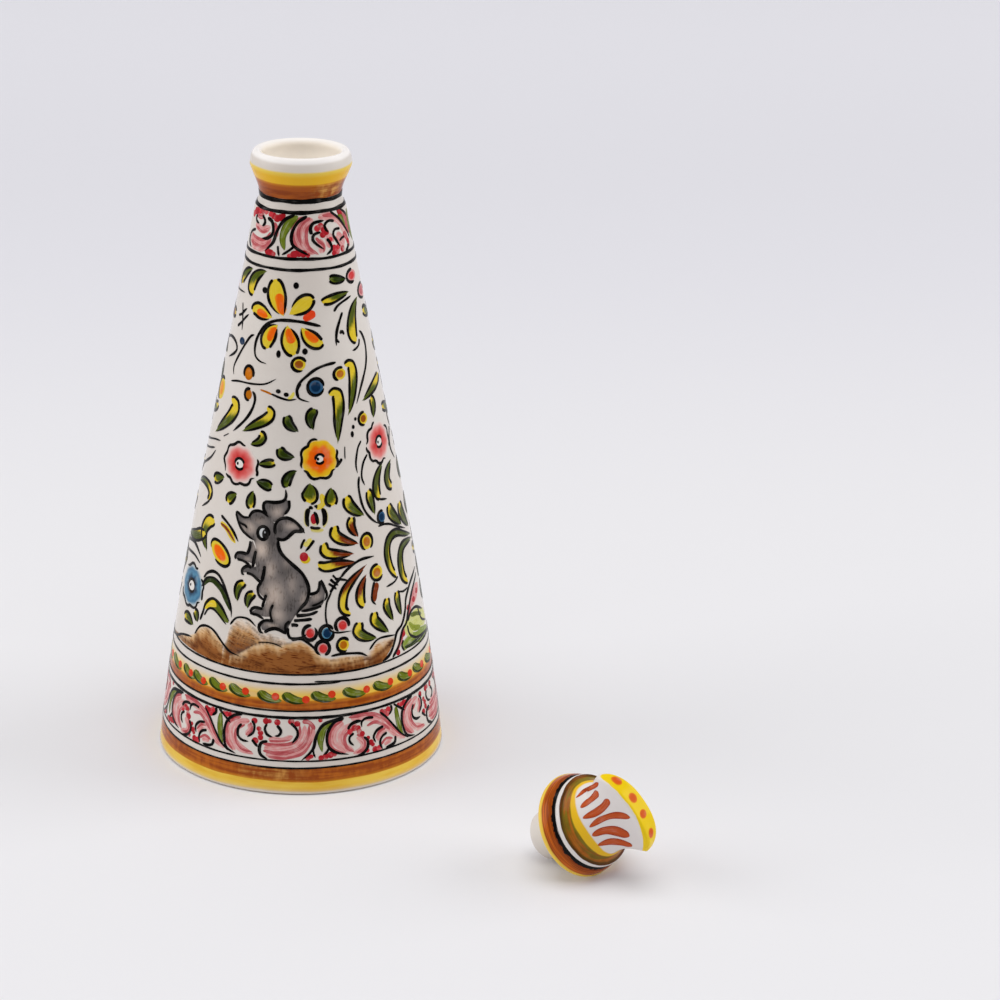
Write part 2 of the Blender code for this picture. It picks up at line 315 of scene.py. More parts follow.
# %% Paint over the glaze
def brush_paint():
    """White mixed with the pigment by its load, and the pigment with its square where it pooled."""
    tree = Tree("brush_paint")
    pigment = tree.attribute("pigment", "Color")
    load = tree.attribute("pigment", "Alpha")
    grain = tree.attribute("grain", "Vector")
    watery = tree.parts(grain)[2]
    hairs = tree.drawn(grain, (0.22, 2.6, 0.0), 3.0)
    pool = tree.drawn(tree.place(), (420.0, 420.0, 420.0))
    streaks = hairs * 0.65 + pool * 0.35
    thins = watery.math("MAXIMUM", watery, 0.0)
    pools = watery.math("ABSOLUTE", watery)
    thin = load * (1.0 - thins * tree.ramp(streaks, 0.50, 0.66))
    deep = tree.ramp(streaks, 0.34, 0.50, 1.0, 0.0) * (pools * 1.1 + 0.08)
    twice = tree.add("ShaderNodeMix", {"data_type": "RGBA", "blend_type": "MULTIPLY"},
                     {0: deep, 6: pigment, 7: pigment})
    colour = tree.mix(thin, CREAM, Value(tree, twice.outputs[2]))
    roughness, normal = gloss(tree, 0.04)
    return tree.finish(colour, roughness, normal)


# %% [markdown]
# Meshes from arrays
#
# A surface here is a grid of points worked out all at once. Two kinds of grid are closed: one
# that runs round an axis and ends in a point at both ends, and one that is a thin slab with a
# top, a bottom and four sides.


# %% Mesh helpers
scene = bpy.context.scene


def placed(name, data):
    """An object of the scene that shows a mesh, a lamp's or a camera's data."""
    piece = bpy.data.objects.new(name, data)
    scene.collection.objects.link(piece)
    return piece


def solid(name, points, quads, triangles=np.zeros((0, 3), dtype=int)):
    """One mesh from arrays of points, four-sided faces and three-sided faces."""
    mesh = bpy.data.meshes.new(name)
    corners = np.concatenate([quads.ravel(), triangles.ravel()]).astype(np.int32)
    sizes = np.repeat([4, 3], [len(quads), len(triangles)]).astype(np.int32)
    mesh.vertices.add(len(points))
    mesh.vertices.foreach_set("co", points.astype(np.float32).ravel())
    mesh.loops.add(len(corners))
    mesh.loops.foreach_set("vertex_index", corners)
    mesh.polygons.add(len(sizes))
    mesh.polygons.foreach_set("loop_start", np.cumsum(sizes, dtype=np.int32) - sizes)
    mesh.update(calc_edges=True)
    mesh.shade_smooth()
    mesh.set_sharp_from_angle(angle=np.radians(45.0))
    return placed(name, mesh)


def note(piece, name, kind, values):
    """Writes a value on each point of a piece, for its material to read."""
    key = {"FLOAT": "value", "FLOAT_VECTOR": "vector", "FLOAT_COLOR": "color"}[kind]
    attribute = piece.data.attributes.new(name, kind, "POINT")
    attribute.data.foreach_set(key, np.asarray(values, dtype=np.float32).ravel())


def spun(section, turn):
    """Spins a half section: (r cos a, r sin a, h) for every height and every angle."""
    radius, height = section[:, :1], section[:, 1:]
    return np.stack([radius * np.cos(turn), radius * np.sin(turn), np.repeat(height, len(turn), 1)], -1)


def drawn_in(grid):
    """The points of a grid of rings, with its first and last ring each drawn in to one point."""
    return np.concatenate([grid[:1, 0], grid[1:-1].reshape(-1, 3), grid[-1:, 0]])


def turned_faces(rows, columns):
    """Faces of a grid closed round its columns, whose first and last rows are single points."""
    column = np.arange(columns)
    after = (column + 1) % columns
    row = 1 + np.arange(rows - 3)[:, None] * columns
    last = 1 + (rows - 3) * columns
    quads = np.stack([row + column, row + after, row + columns + after, row + columns + column], -1)
    foot = np.stack([np.zeros_like(column), 1 + after, 1 + column], -1)
    head = np.stack([np.full_like(column, last + columns), last + column, last + after], -1)
    return quads.reshape(-1, 4), np.concatenate([foot, head])


def slab_faces(rows, columns):
    """Faces of a slab: the top grid's points come first, the bottom grid's after them."""
    top = np.arange(rows * columns).reshape(rows, columns)
    low = top + rows * columns
    cover = np.stack([top[:-1, :-1], top[1:, :-1], top[1:, 1:], top[:-1, 1:]], -1).reshape(-1, 4)
    under = np.stack([low[:-1, :-1], low[:-1, 1:], low[1:, 1:], low[1:, :-1]], -1).reshape(-1, 4)
    rim = np.concatenate([top[:-1, 0], top[-1, :-1], top[:0:-1, -1], top[0, :0:-1]])
    ahead = np.roll(rim, -1)
    sides = np.stack([rim, rim + rows * columns, ahead + rows * columns, ahead], -1)
    return np.concatenate([cover, under, sides])


# %% [markdown]
# The bottle
#
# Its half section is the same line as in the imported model, only finer: a small round at the
# foot, a slightly full cone, a drawn-in waist, a flare and a rolled lip, and then down the inside
# to the floor. The real lip was set by hand and leans: it stands half a millimetre higher at
# the front than at the back, so the top of the grid is tilted by that much.

# %% Bottle sizes, in millimetres
low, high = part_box("cruet_body")
BASE_RADIUS = (high[0] - low[0]) * 500.0
CREST_HEIGHT = high[2] * 1000.0
CONE_TOP_RADIUS = 14.0
CONE_HEIGHT = 175.6
BELLY = 1.8
WAIST_RADIUS = 12.5
WAIST_HEIGHT = 180.0
LIP_RADIUS = 15.45
LIP_HEIGHT = 189.3
CREST_RADIUS = 13.6
MOUTH_RADIUS = 11.8
MOUTH_HEIGHT = CREST_HEIGHT - 2.2
BORE_RADIUS = 8.5
WALL = 4.5
FLOOR = 6.0
FLOOR_ROUND = 8.0
FOOT_ROUND = 1.2
LIP_LEAN = 0.5
LIP_SHIFT = 0.2
SLOPE = (BASE_RADIUS - CONE_TOP_RADIUS) / CONE_HEIGHT
print(f"base radius {BASE_RADIUS:.1f} mm, height {CREST_HEIGHT:.1f} mm, slope {SLOPE:.4f}")


# %% Lines of the section
def cone(height):
    """Radius of a straight cone at a height: it falls evenly from the foot."""
    return BASE_RADIUS - SLOPE * height


def belly(height):
    """How far the flank stands out of that cone: 1.8 sin(pi s^0.66)^1.5, s the share of its height."""
    share = np.clip(height / CONE_HEIGHT, 0.0, 1.0)
    return BELLY * np.maximum(np.sin(np.pi * share**0.66), 0.0) ** 1.5


def flank(start, stop, steps, inset=0.0):
    """Points up or down the flank between two heights, drawn in from the outside by inset."""
    height = np.linspace(start, stop, steps)
    return np.stack([cone(height) + belly(height) - inset, height], -1)


def arc(centre, across, up, start, stop, steps):
    """Points on an ellipse: centre + (across cos t, up sin t), t in degrees."""
    turn = np.radians(np.linspace(start, stop, steps))
    return np.stack([centre[0] + across * np.cos(turn), centre[1] + up * np.sin(turn)], -1)


def hermite(start, leave, stop, arrive, steps):
    """A cubic that leaves and arrives along two given ways, as fast as the ends are apart."""
    start, stop = np.array(start), np.array(stop)
    span = np.linalg.norm(stop - start)
    leave = span * np.array(leave) / np.linalg.norm(leave)
    arrive = span * np.array(arrive) / np.linalg.norm(arrive)
    t = np.linspace(0.0, 1.0, steps)[:, None]
    return ((2 * t**3 - 3 * t**2 + 1) * start + (t**3 - 2 * t**2 + t) * leave
            + (3 * t**2 - 2 * t**3) * stop + (t**3 - t**2) * arrive)


# %% The half section
def outer_section():
    """The outside from the foot's edge to the lip's crest, part by part."""
    foot = arc((BASE_RADIUS - FOOT_ROUND, FOOT_ROUND), FOOT_ROUND, FOOT_ROUND, -90, -10, 8)
    side = flank(2 * FOOT_ROUND, CONE_HEIGHT, 100)
    narrowest = (WAIST_RADIUS, WAIST_HEIGHT)
    waist = hermite((CONE_TOP_RADIUS, CONE_HEIGHT), (-SLOPE, 1.0), narrowest, (0.0, 1.0), 16)
    flare = hermite(narrowest, (0.0, 1.0), (LIP_RADIUS, LIP_HEIGHT), (0.3, 1.0), 24)
    lip = arc((CREST_RADIUS, LIP_HEIGHT), LIP_RADIUS - CREST_RADIUS, CREST_HEIGHT - LIP_HEIGHT, 0, 90, 14)
    return np.concatenate([foot, side, waist[1:], flare[1:], lip[1:]])


def inner_section():
    """The inside from the crest down to the floor's edge, at the wall's thickness below the throat."""
    thick = WALL * np.hypot(1.0, SLOPE)
    mouth = arc((CREST_RADIUS, MOUTH_HEIGHT), CREST_RADIUS - MOUTH_RADIUS, CREST_HEIGHT - MOUTH_HEIGHT,
                90, 180, 10)
    bore_top, bore_low = WAIST_HEIGHT + 1.4, WAIST_HEIGHT - 2.6
    throat = hermite((MOUTH_RADIUS, MOUTH_HEIGHT), (0.0, -1.0), (BORE_RADIUS, bore_top), (0.0, -1.0), 14)
    corner = FLOOR + FLOOR_ROUND
    wall = flank(bore_low - 3.0, corner, 40, thick)
    shoulder = hermite((BORE_RADIUS, bore_low), (0.0, -1.0), wall[0], (SLOPE, -1.0), 8)
    floor = arc((wall[-1, 0] - FLOOR_ROUND, corner), FLOOR_ROUND, FLOOR_ROUND, 0, -90, 8)
    return np.concatenate([mouth[1:], throat[1:], shoulder, wall[1:], floor[1:]])


# %% The bottle's skin
def lean(points):
    """Tilts and shifts what is above the waist: a smooth step in height times -y and +x."""
    rise = np.clip((points[..., 2] - WAIST_HEIGHT - 1.0) / (CREST_HEIGHT - WAIST_HEIGHT - 3.0), 0.0, 1.0)
    rise = rise * rise * (3.0 - 2.0 * rise)
    moved = points.copy()
    moved[..., 2] -= LIP_LEAN * rise * points[..., 1] / LIP_RADIUS
    moved[..., 0] += LIP_SHIFT * rise
    return moved


OUTER = outer_section()
print("outer section:", len(OUTER), "points, widest radius", OUTER[:, 0].max().round(2), "mm")


def build_bottle(sides=288):
    """Spins the half section, and marks the points of the outer skin."""
    section = np.concatenate([[(0.0, 0.0)], OUTER, inner_section(), [(0.0, FLOOR)]])
    grid = lean(spun(section, np.linspace(0.0, 2.0 * np.pi, sides, endpoint=False))) * 0.001
    piece = solid("bottle_skin", drawn_in(grid), *turned_faces(*grid.shape[:2]))
    outer = np.zeros((len(section) - 2, sides))
    outer[:len(OUTER) - 4] = 1.0
    note(piece, "outside", "FLOAT", np.concatenate([[1.0], outer.ravel(), [0.0]]))
    return piece


bottle = build_bottle()
bottle.data.materials.append(bottle_glaze())
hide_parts("cruet_body")
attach(bottle, "cruet")
print("bottle:", len(bottle.data.polygons), "faces")

# %% [markdown]
# How a stroke is laid on
#
# A place on the pot is an azimuth in degrees, zero at the front and growing to the right, and
# a height in millimetres. A stroke is a few such points. A smooth curve goes through them, is
# cut into even steps, and gets a width to both sides that swells and thins as a brush does.
# The patch becomes a slab a few hundredths of a millimetre thick, sunk a little in the glaze.

# %% Places on the bottle
DEGREE = np.pi / 180.0
EYE_RISE = 0.37


def degree_length(height, reach=None):
    """Millimetres in a degree round the pot at a height; where a reach is given, it is used instead."""
    return DEGREE * cone(height) if reach is None else reach + 0.0 * height


def beside(centre, right, rise, reach=None):
    """The place so many millimetres to the right of a centre and above it."""
    return centre[0] + right / degree_length(centre[1], reach), centre[1] + rise


def on_bottle(azimuth, height, lift):
    """Point of the bottle's skin at an azimuth and a height, moved out by lift along its normal."""
    radius, above, below = (np.interp(height + step, OUTER[:, 1], OUTER[:, 0]) for step in (0.0, 0.4, -0.4))
    lean_out = (above - below) / 0.8
    size = np.hypot(1.0, lean_out)
    radius = radius + lift / size
    turn = azimuth * DEGREE
    points = np.stack([radius * np.sin(turn), -radius * np.cos(turn), height - lift * lean_out / size], -1)
    return lean(points) * 0.001


def fuller(azimuth, height):
    """Places read on a straight cone, carried out to the full flank along the line of sight.

    From the front or the back, x = sin a keeps its distance from the middle except near the
    edge, where it stretches: x (k + (1 - k) x^16), with k the straight radius over the full one.
    What comes nearer to the eye by d is 0.37 d higher, as the camera looks down.
    """
    away = (azimuth + 90.0) % 180.0 - 90.0
    full = cone(height) + belly(height)
    narrow = cone(height) / full
    x = np.sin(away * DEGREE)
    moved = np.arcsin(np.clip(x * (narrow + (1.0 - narrow) * x**16), -1.0, 1.0))
    nearer = full * np.cos(moved) - cone(height) * np.cos(away * DEGREE)
    return azimuth - away + moved / DEGREE, height + EYE_RISE * nearer


def on_field(azimuth, height, lift):
    """A place of the painted field, put on the full flank."""
    return on_bottle(*fuller(azimuth, height), lift)


def on_rings(azimuth, height, lift):
    """Rings and borders stay level: they rise as the front does, all the way round."""
    return on_bottle(fuller(azimuth, height)[0], height + EYE_RISE * belly(height), lift)


front = on_field(np.array([0.0]), np.array([100.0]), 0.0)[0]
print("front of the field, 100 mm up, in metres:", front.round(4))


# %% Curves and widths
CROWD = 0.11


def blend(first, second, share):
    """A colour for each point: first where share is 0 and second where it is 1."""
    share = np.clip(share, 0.0, 1.0)[..., None]
    first, second = np.asarray(first)[..., :3], np.asarray(second)[..., :3]
    return first * (1.0 - share) + second * share


def cut(path, at, known):
    """Places of a path at new numbers, each between its neighbours in proportion."""
    return np.stack([np.interp(at, known, path[:, 0]), np.interp(at, known, path[:, 1])], -1)


def curve(points, step=0.7, reach=None):
    """A Catmull-Rom curve through places, in steps of about step mm.

    Points is one row, azimuth and height in turn. The steps are even in u - 0.11 sin(2 pi u), so
    they crowd together at both ends. Returns the places, the share of the length at each, the
    knot number there, and the length.
    """
    knots = np.asarray(points, dtype=float).reshape(-1, 2)
    padded = np.concatenate([2 * knots[:1] - knots[1:2], knots, 2 * knots[-1:] - knots[-2:-1]])
    t = np.linspace(0.0, 1.0, 12, endpoint=False)[None, :, None]
    a, b, c, d = (padded[i:i + len(knots) - 1, None] for i in range(4))
    fine = 0.5 * (2 * b + (c - a) * t + (2 * a - 5 * b + 4 * c - d) * t**2 + (3 * b - a - 3 * c + d) * t**3)
    fine = np.concatenate([fine.reshape(-1, 2), knots[-1:]])
    number = np.linspace(0.0, len(knots) - 1.0, len(fine))
    scale = degree_length(fine[:, 1], reach)
    gaps = np.hypot(np.diff(fine[:, 0]) * (scale[1:] + scale[:-1]) / 2, np.diff(fine[:, 1]))
    length = np.concatenate([[0.0], np.cumsum(gaps)])
    even = np.linspace(0.0, 1.0, max(7, int(np.ceil(length[-1] / step)) + 5))
    target = length[-1] * (even - CROWD * np.sin(2.0 * np.pi * even))
    return cut(fine, target, length), target / length[-1], np.interp(target, length, number), length[-1]


def swell(share, start, stop):
    """A brush mark's width: up a quarter circle, full, then down a flatter one to the end."""
    head = 1.0 - np.clip(share / start, 0.0, 1.0)
    tail = 1.0 - np.clip((1.0 - share) / stop, 0.0, 1.0)
    return np.sqrt(1.0 - head**2) * (1.0 - tail**2) ** 0.7


def spread(path, half, lanes, reach=None):
    """Carries a width along a path: each point moves left and right by half, in millimetres."""
    scale = degree_length(path[:, 1], reach)
    ahead = np.gradient(path[:, 0]) * scale
    rise = np.gradient(path[:, 1])
    size = np.maximum(np.hypot(ahead, rise), 1e-9)
    side = np.linspace(-1.0, 1.0, lanes)
    offset = side * half[:, None]
    azimuth = path[:, :1] - offset * (rise / size / scale)[:, None]
    height = path[:, 1:] + offset * (ahead / size)[:, None]
    return azimuth, height, np.broadcast_to(side, azimuth.shape)


def tilted(x, y, tilt):
    """x and y turned by a tilt: (x cos t - y sin t, x sin t + y cos t), t in degrees."""
    turn = tilt * DEGREE
    return x * np.cos(turn) - y * np.sin(turn), x * np.sin(turn) + y * np.cos(turn)


print("a stroke straight up, 10 mm long, has", len(curve((0, 50, 0, 60))[0]), "steps")

# %% A pot of paint
SINK = 0.03
LAYER = 0.014
HAIR = 0.0012
APART = 17.3


class Pot:
    """A pot of paint: collects patches and pours them into one closed mesh.

    Lift is how far its paint stands out of the glaze, skin puts a place on the piece, press
    widens every stroke, and shift turns what is laid next round the pot, in degrees.
    """

    def __init__(self, name, lift, skin, reach=None, press=1.0):
        self.name, self.lift, self.skin, self.reach, self.press = name, lift, skin, reach, press
        self.points, self.faces, self.pigment, self.grain = [], [], [], []
        self.count, self.shift = 0, 0.0

    def lay(self, azimuth, height, pigment, load, along, across, watery, over=0):
        """Adds one patch: a grid of places, each with its pigment and how much of it.

        A patch painted over others lies a whole layer higher; neighbours differ by a hair.
        """
        rows, columns = azimuth.shape
        azimuth = azimuth + self.shift
        lift = self.lift + LAYER * over + HAIR * (len(self.faces) % 10)
        top, bottom = self.skin(azimuth, height, lift), self.skin(azimuth, height, -SINK)
        colour, grain = np.empty((rows, columns, 4)), np.empty((rows, columns, 3))
        colour[..., :3] = np.asarray(pigment)[..., :3]
        colour[..., 3] = load
        grain[..., 0] = along + APART * len(self.points)
        grain[..., 1] = across
        grain[..., 2] = watery
        facing = np.cross(top[1:, :-1] - top[:-1, :-1], top[:-1, 1:] - top[:-1, :-1])
        way = 1 if np.sum(facing * (top - bottom)[:-1, :-1]) > 0 else -1
        self.points += [top[:, ::way].reshape(-1, 3), bottom[:, ::way].reshape(-1, 3)]
        self.pigment += [colour[:, ::way].reshape(-1, 4)] * 2
        self.grain += [grain[:, ::way].reshape(-1, 3)] * 2
        self.faces.append(slab_faces(rows, columns) + self.count)
        self.count += 2 * rows * columns

    def stroke(self, points, half, pigment=BLACK, watery=0.04, start=0.08, stop=0.3, widths=(1.0, 1.0),
               soft=0.0, lanes=2, step=0.7, rim=None, over=0):
        """One brush mark along a few points, with a slight unsteadiness in its width.

        Widths scale the half width from point to point. Rim is the colour at both edges.
        """
        path, share, knot, length = curve(points, step, self.reach)
        half = half * self.press
        width = half * swell(share, start, stop) * np.interp(knot, np.arange(len(widths)), widths)
        width = width * (1.0 + 0.10 * np.sin(0.9 * share * length + 2.1 * len(self.faces)))
        azimuth, height, side = spread(path, np.maximum(width, 0.05), lanes, self.reach)
        load = 1.0 - soft * np.abs(side) ** 3
        colour = pigment if rim is None else blend(pigment, rim, np.abs(side) ** 4)
        self.lay(azimuth, height, colour, load, share[:, None] * length, side * half, watery, over)

    def disc(self, centre, across, up, pigment, load=1.0, tilt=0.0, cells=8, watery=0.3, lobes=0, depth=0.0,
             over=0):
        """A filled oval: a square grid pressed into a circle, x sqrt(1 - y y / 2) and the same for y.

        Pigment and load may be functions of the distance from the middle and the angle.
        """
        cell = np.linspace(-1, 1, cells + 1)
        u, v = np.meshgrid(cell, cell, indexing="ij")
        x, y = u * np.sqrt(1 - v * v / 2), v * np.sqrt(1 - u * u / 2)
        radius, angle = np.hypot(x, y), np.arctan2(y, x)
        swollen = 1.0 - depth * radius * (1.0 - np.abs(np.sin(angle * lobes / 2)))
        right, rise = tilted(x * swollen * across, y * swollen * up, tilt)
        colour = pigment(radius, angle) if callable(pigment) else pigment
        amount = load(radius, angle) if callable(load) else load
        place = beside(centre, right, rise, self.reach)
        self.lay(*place, colour, amount, right, rise * 0.1, watery, over)

    def pour(self, body="cruet", slot="cream_glaze"):
        """Joins the patches into one mesh, with its pigment and grain on the points."""
        faces = np.concatenate(self.faces)
        piece = solid(self.name, np.concatenate(self.points), faces)
        note(piece, "pigment", "FLOAT_COLOR", np.concatenate(self.pigment))
        note(piece, "grain", "FLOAT_VECTOR", np.concatenate(self.grain))
        piece.data.materials.append(PAINT)
        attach(piece, body)
        print(f"{self.name}: {len(self.faces)} patches, {2 * len(faces)} triangles")


PAINT = brush_paint()
print("paint material:", PAINT.name)

# %% [markdown]
# Black rings
#
# The rings were drawn with a loaded brush while the pot turned, so each starts and ends a
# little beside itself. A ring is one stroke of just over a full turn, whose height drifts.

# %% Rings round the pot
# height where it starts and stops, half width, azimuth of its start
RINGS = (
    (8.55, 8.5, 0.27, 150), (10.6, 10.7, 0.27, 200), (24.4, 24.3, 0.44, 120), (26.5, 26.4, 0.3, 170),
    (35.5, 34.75, 0.32, 6), (37.6, 37.7, 0.29, 140), (160.3, 160.4, 0.45, 160), (163.6, 163.7, 0.46, 200),
    (177.3, 177.4, 0.52, 140), (180.5, 180.6, 0.72, 190),
)
OVERLAP = 12.0
lines = Pot("paint_rings", 0.09, on_rings)


def ring(start, stop, half, azimuth):
    """A full turn and twelve degrees more, from one height to another with a slight sway."""
    turn = np.linspace(0.0, 360.0 + OVERLAP, 31)
    share = np.clip((turn - OVERLAP / 2) / OVERLAP, 0.0, 1.0)
    sway = 0.07 * np.sin(turn * 3 * DEGREE + start) + 0.05 * np.sin(turn * 7 * DEGREE + 2 * start)
    points = np.stack([azimuth + turn, start + (stop - start) * share + sway], -1)
    widths = 1.0 + 0.12 * np.sin(turn * 5 * DEGREE + stop)
    lines.stroke(points, half, watery=0.07, start=0.01, stop=0.02, widths=widths, step=0.9)


for row in RINGS:
    ring(*row)
lines.pour()

# %% [markdown]
# The scroll borders
#
# Both pink borders repeat two figures: a fan, whose curls face each other, and a wave, whose
# curls roll the same way. A slanting line and a green leaf divide them. The figures are drawn
# once, in degrees and millimetres, and set round the pot, the last five stretched a little so
# that they close the circle. The neck is thin, so its border has one wide figure, set twice.
#
# A row of a table is one stroke: its half width, its colour where it isn't black, and then the
# azimuth and the height of each point it goes through. A dot has an azimuth, a height and a size.

# %% The fan figure
FAN_START = 11.0
FAN_TURN = 37.6
FAN_LINES = (
    (0.4, 18.8, 23.2, 14.7, 22.5, 11.8, 20, 10.9, 17.1, 11.8, 14.6, 14.7, 12.9, 20, 11.8),
    (0.42, 20.3, 19.6, 21.6, 20.9, 24, 21.6, 27.1, 21.6),
    (0.34, 32.9, 21.8, 29.4, 22.1, 27, 21.3, 26.8, 19.6),
    (0.34, 22.9, 18.2, 20.9, 17.1, 20.9, 15.6, 22.6, 14.3),
    (0.4, 27.4, 16.4, 29.1, 15, 28.8, 12.9, 26.5, 11.4, 23.5, 10.9),
    (0.36, 37.6, 18.2, 34.1, 17.5, 32.1, 15.7, 32.9, 13.8),
    (0.36, 39.1, 15.9, 36.2, 15, 35, 13.2, 35.9, 11.2),
    (0.42, 43.5, 13.9, 42.9, 12.1, 40.6, 11.4, 37.6, 11.3),
    (0.3, 36.5, 22.9, 40, 20.4, 43.5, 17.1, 47.1, 13.9, 51, 11.6), (0.36, 42.9, 23.9, 43.2, 22.5, 41.2, 21.1),
    (0.32, 44.7, 23.9, 48.2, 22.1, 51.2, 20.5),
)
FAN_WASHES = (
    (1.55, ROSE, 18.5, 22, 14.3, 20, 13.2, 17.3, 14.3, 14.8, 19, 12.5),
    (1.35, ROSE, 22, 22.8, 29, 22.6, 35, 21.2, 40, 17.8, 44, 14.6, 49, 12),
    (1.25, ROSE, 24.6, 20.6, 19.6, 20, 17.2, 17.6, 18.2, 14.6, 22.5, 12.4),
    (0.95, ROSE, 24, 16.6, 27, 14.6, 26, 12.6, 22, 11.8),
    (0.85, ROSE, 33.8, 14.2, 36.4, 16.6, 40.4, 16.8), (0.8, ROSE, 37, 12.6, 41.2, 13.1),
    (0.55, PINK, 18.4, 22.9, 13.2, 20.8, 12, 17.3, 13, 14.2, 17.8, 12.5),
    (0.6, PINK, 21, 23.3, 30, 23.3, 37, 21.4, 42, 17.7, 46.5, 14.1, 50, 12),
    (0.5, PINK, 24.2, 19.6, 20.2, 18.6, 18.6, 16.8, 19.4, 14.1, 22.4, 12.3),
    (0.5, PINK, 29.3, 19.6, 33.5, 20.2, 37.5, 18.7, 41, 16.4),
    (0.45, PINK, 24.2, 17.5, 26.8, 16.6, 27.8, 14.6, 27, 12.6, 23.5, 11.8),
    (0.42, PINK, 35.4, 12.6, 38.4, 14.1, 42, 13.4), (0.4, PINK, 33.1, 15, 35.4, 17, 38.8, 17.4),
)
FAN_DOTS = (
    (21.2, 18.8, 0.95), (23.3, 19.7, 1), (25, 19.5, 0.95), (25.6, 18.3, 0.9), (26.8, 17.5, 0.9),
    (29.4, 15.8, 0.7), (30.6, 14.2, 0.95), (31.4, 13.4, 0.7), (28.6, 11.9, 0.75), (32.3, 11.7, 1.05),
    (34.4, 11.7, 1.05), (37.6, 22.8, 0.9), (39.3, 22.3, 1.05), (41.2, 22.9, 0.95), (40.6, 21.6, 0.85),
    (49.2, 22.9, 0.9), (51, 23, 0.95), (52.6, 22.9, 0.8), (51.4, 21.9, 0.85),
)
FAN_LEAVES = (
    (1, 45.7, 22.8, 46, 19, 46.8, 15.6, 48.4, 13.2),
)

# %% The wave figure
WAVE_START = -34.3
WAVE_TURN = 45.3
WAVE_LINES = (
    (0.4, -26.2, 23.8, -29.7, 23.2, -33.2, 21.1, -34.4, 18.2, -34.1, 15.4, -32.6, 12.5, -28, 11.2),
    (0.36, -26.2, 20.9, -27.7, 19.3, -27.6, 17.1, -25.6, 15.9, -22.6, 15.7),
    (0.34, -21.5, 22.5, -20.3, 21.1, -20.6, 18.9, -23.2, 17.1),
    (0.34, -14.7, 22, -15.6, 20.4, -14.4, 18.6, -12.1, 18),
    (0.36, -10.3, 21.8, -8.5, 20, -9.5, 18.6, -11.2, 18.4),
    (0.36, -4.4, 22.7, -1.8, 20.7, -1.5, 18.6, -3.8, 16.3),
    (0.42, -14.1, 16.6, -16.8, 15.9, -17.6, 13.9, -16.8, 12.1, -13.8, 10.9),
    (0.34, -21, 16.5, -19.6, 15.4, -18.3, 14.5),
    (0.4, 18.8, 23.5, 14.1, 23, 9.4, 21.8, 6.5, 18.6, 5.3, 15, 3.5, 13.2, 0.2, 11),
    (0.26, 5.1, 15, 5.2, 13.2, 5.9, 11.8), (0.3, 11.6, 14.4, 10.6, 13.2, 9.4, 12.6),
)
WAVE_WASHES = (
    (1.35, ROSE, -27.3, 22.5, -31, 20.9, -32.8, 18, -32, 14.8, -28.2, 12.2),
    (1.15, ROSE, -22.6, 22.2, -27, 21.4, -30, 19, -29.4, 15.8, -26.2, 13.4, -20, 12),
    (0.95, ROSE, -22.6, 21.4, -22, 19.4, -24, 17.6),
    (0.95, ROSE, -13.8, 17.2, -8, 17.2, -3.4, 18.6),
    (1.55, ROSE, -15.6, 14.4, -8, 14.3, -1.4, 15.6, 1.4, 18.4, 1.6, 22),
    (1.3, ROSE, -14.8, 12.4, -7, 12.3, 0, 14.2, 3.8, 18, 5.4, 21.8),
    (0.5, PINK, -26.8, 23, -31.6, 21.2, -33.4, 18, -32.8, 14.8, -29.4, 12.1),
    (0.42, PINK, -24.6, 20.8, -27, 19.6, -28.8, 18.4, -28.4, 15.6, -25.6, 13.2, -20.6, 12.6),
    (0.42, PINK, -22.2, 21.8, -21.4, 20, -22.6, 18),
    (0.5, PINK, -16.2, 15.6, -9, 15.7, -3.2, 16.6, -0.6, 19.2, -0.6, 22.4),
    (0.62, PINK, -16, 13.5, -8, 13.1, -0.4, 14.9, 2.8, 18.2, 3.6, 22.2),
    (0.46, PINK, -13.6, 11.7, -6, 11.7, 0.8, 13.3, 4.8, 17.2),
    (0.36, PINK, -13.4, 16.7, -9, 16.9, -4.5, 17.3), (0.7, PINK, 0.6, 23.2, 3.6, 22.8, 6, 20.6),
)
WAVE_DOTS = (
    (-20.4, 22.5, 1), (-15.2, 22.8, 1), (-13.6, 22.9, 0.7), (-10.2, 22.7, 1), (-4.2, 23.1, 1),
    (-1.6, 22.5, 0.95), (-18.2, 20.2, 0.8), (-17.4, 18.9, 0.9), (-17.3, 17.5, 0.9), (-19.6, 16.3, 1.1),
    (2.8, 11.8, 0.9), (4.2, 12.2, 0.7), (8.3, 11.6, 0.9), (10.2, 12, 1.05), (12.2, 12.3, 1.05),
    (14, 12.5, 0.85), (8.4, 23.4, 0.7), (-35.2, 23.1, 0.7), (-33.6, 22.9, 0.85), (-31.9, 23.3, 0.7),
)
WAVE_LEAVES = (
    (1.1, 13.4, 23, 9.6, 20.6, 8.2, 17, 8.8, 13.4),
)

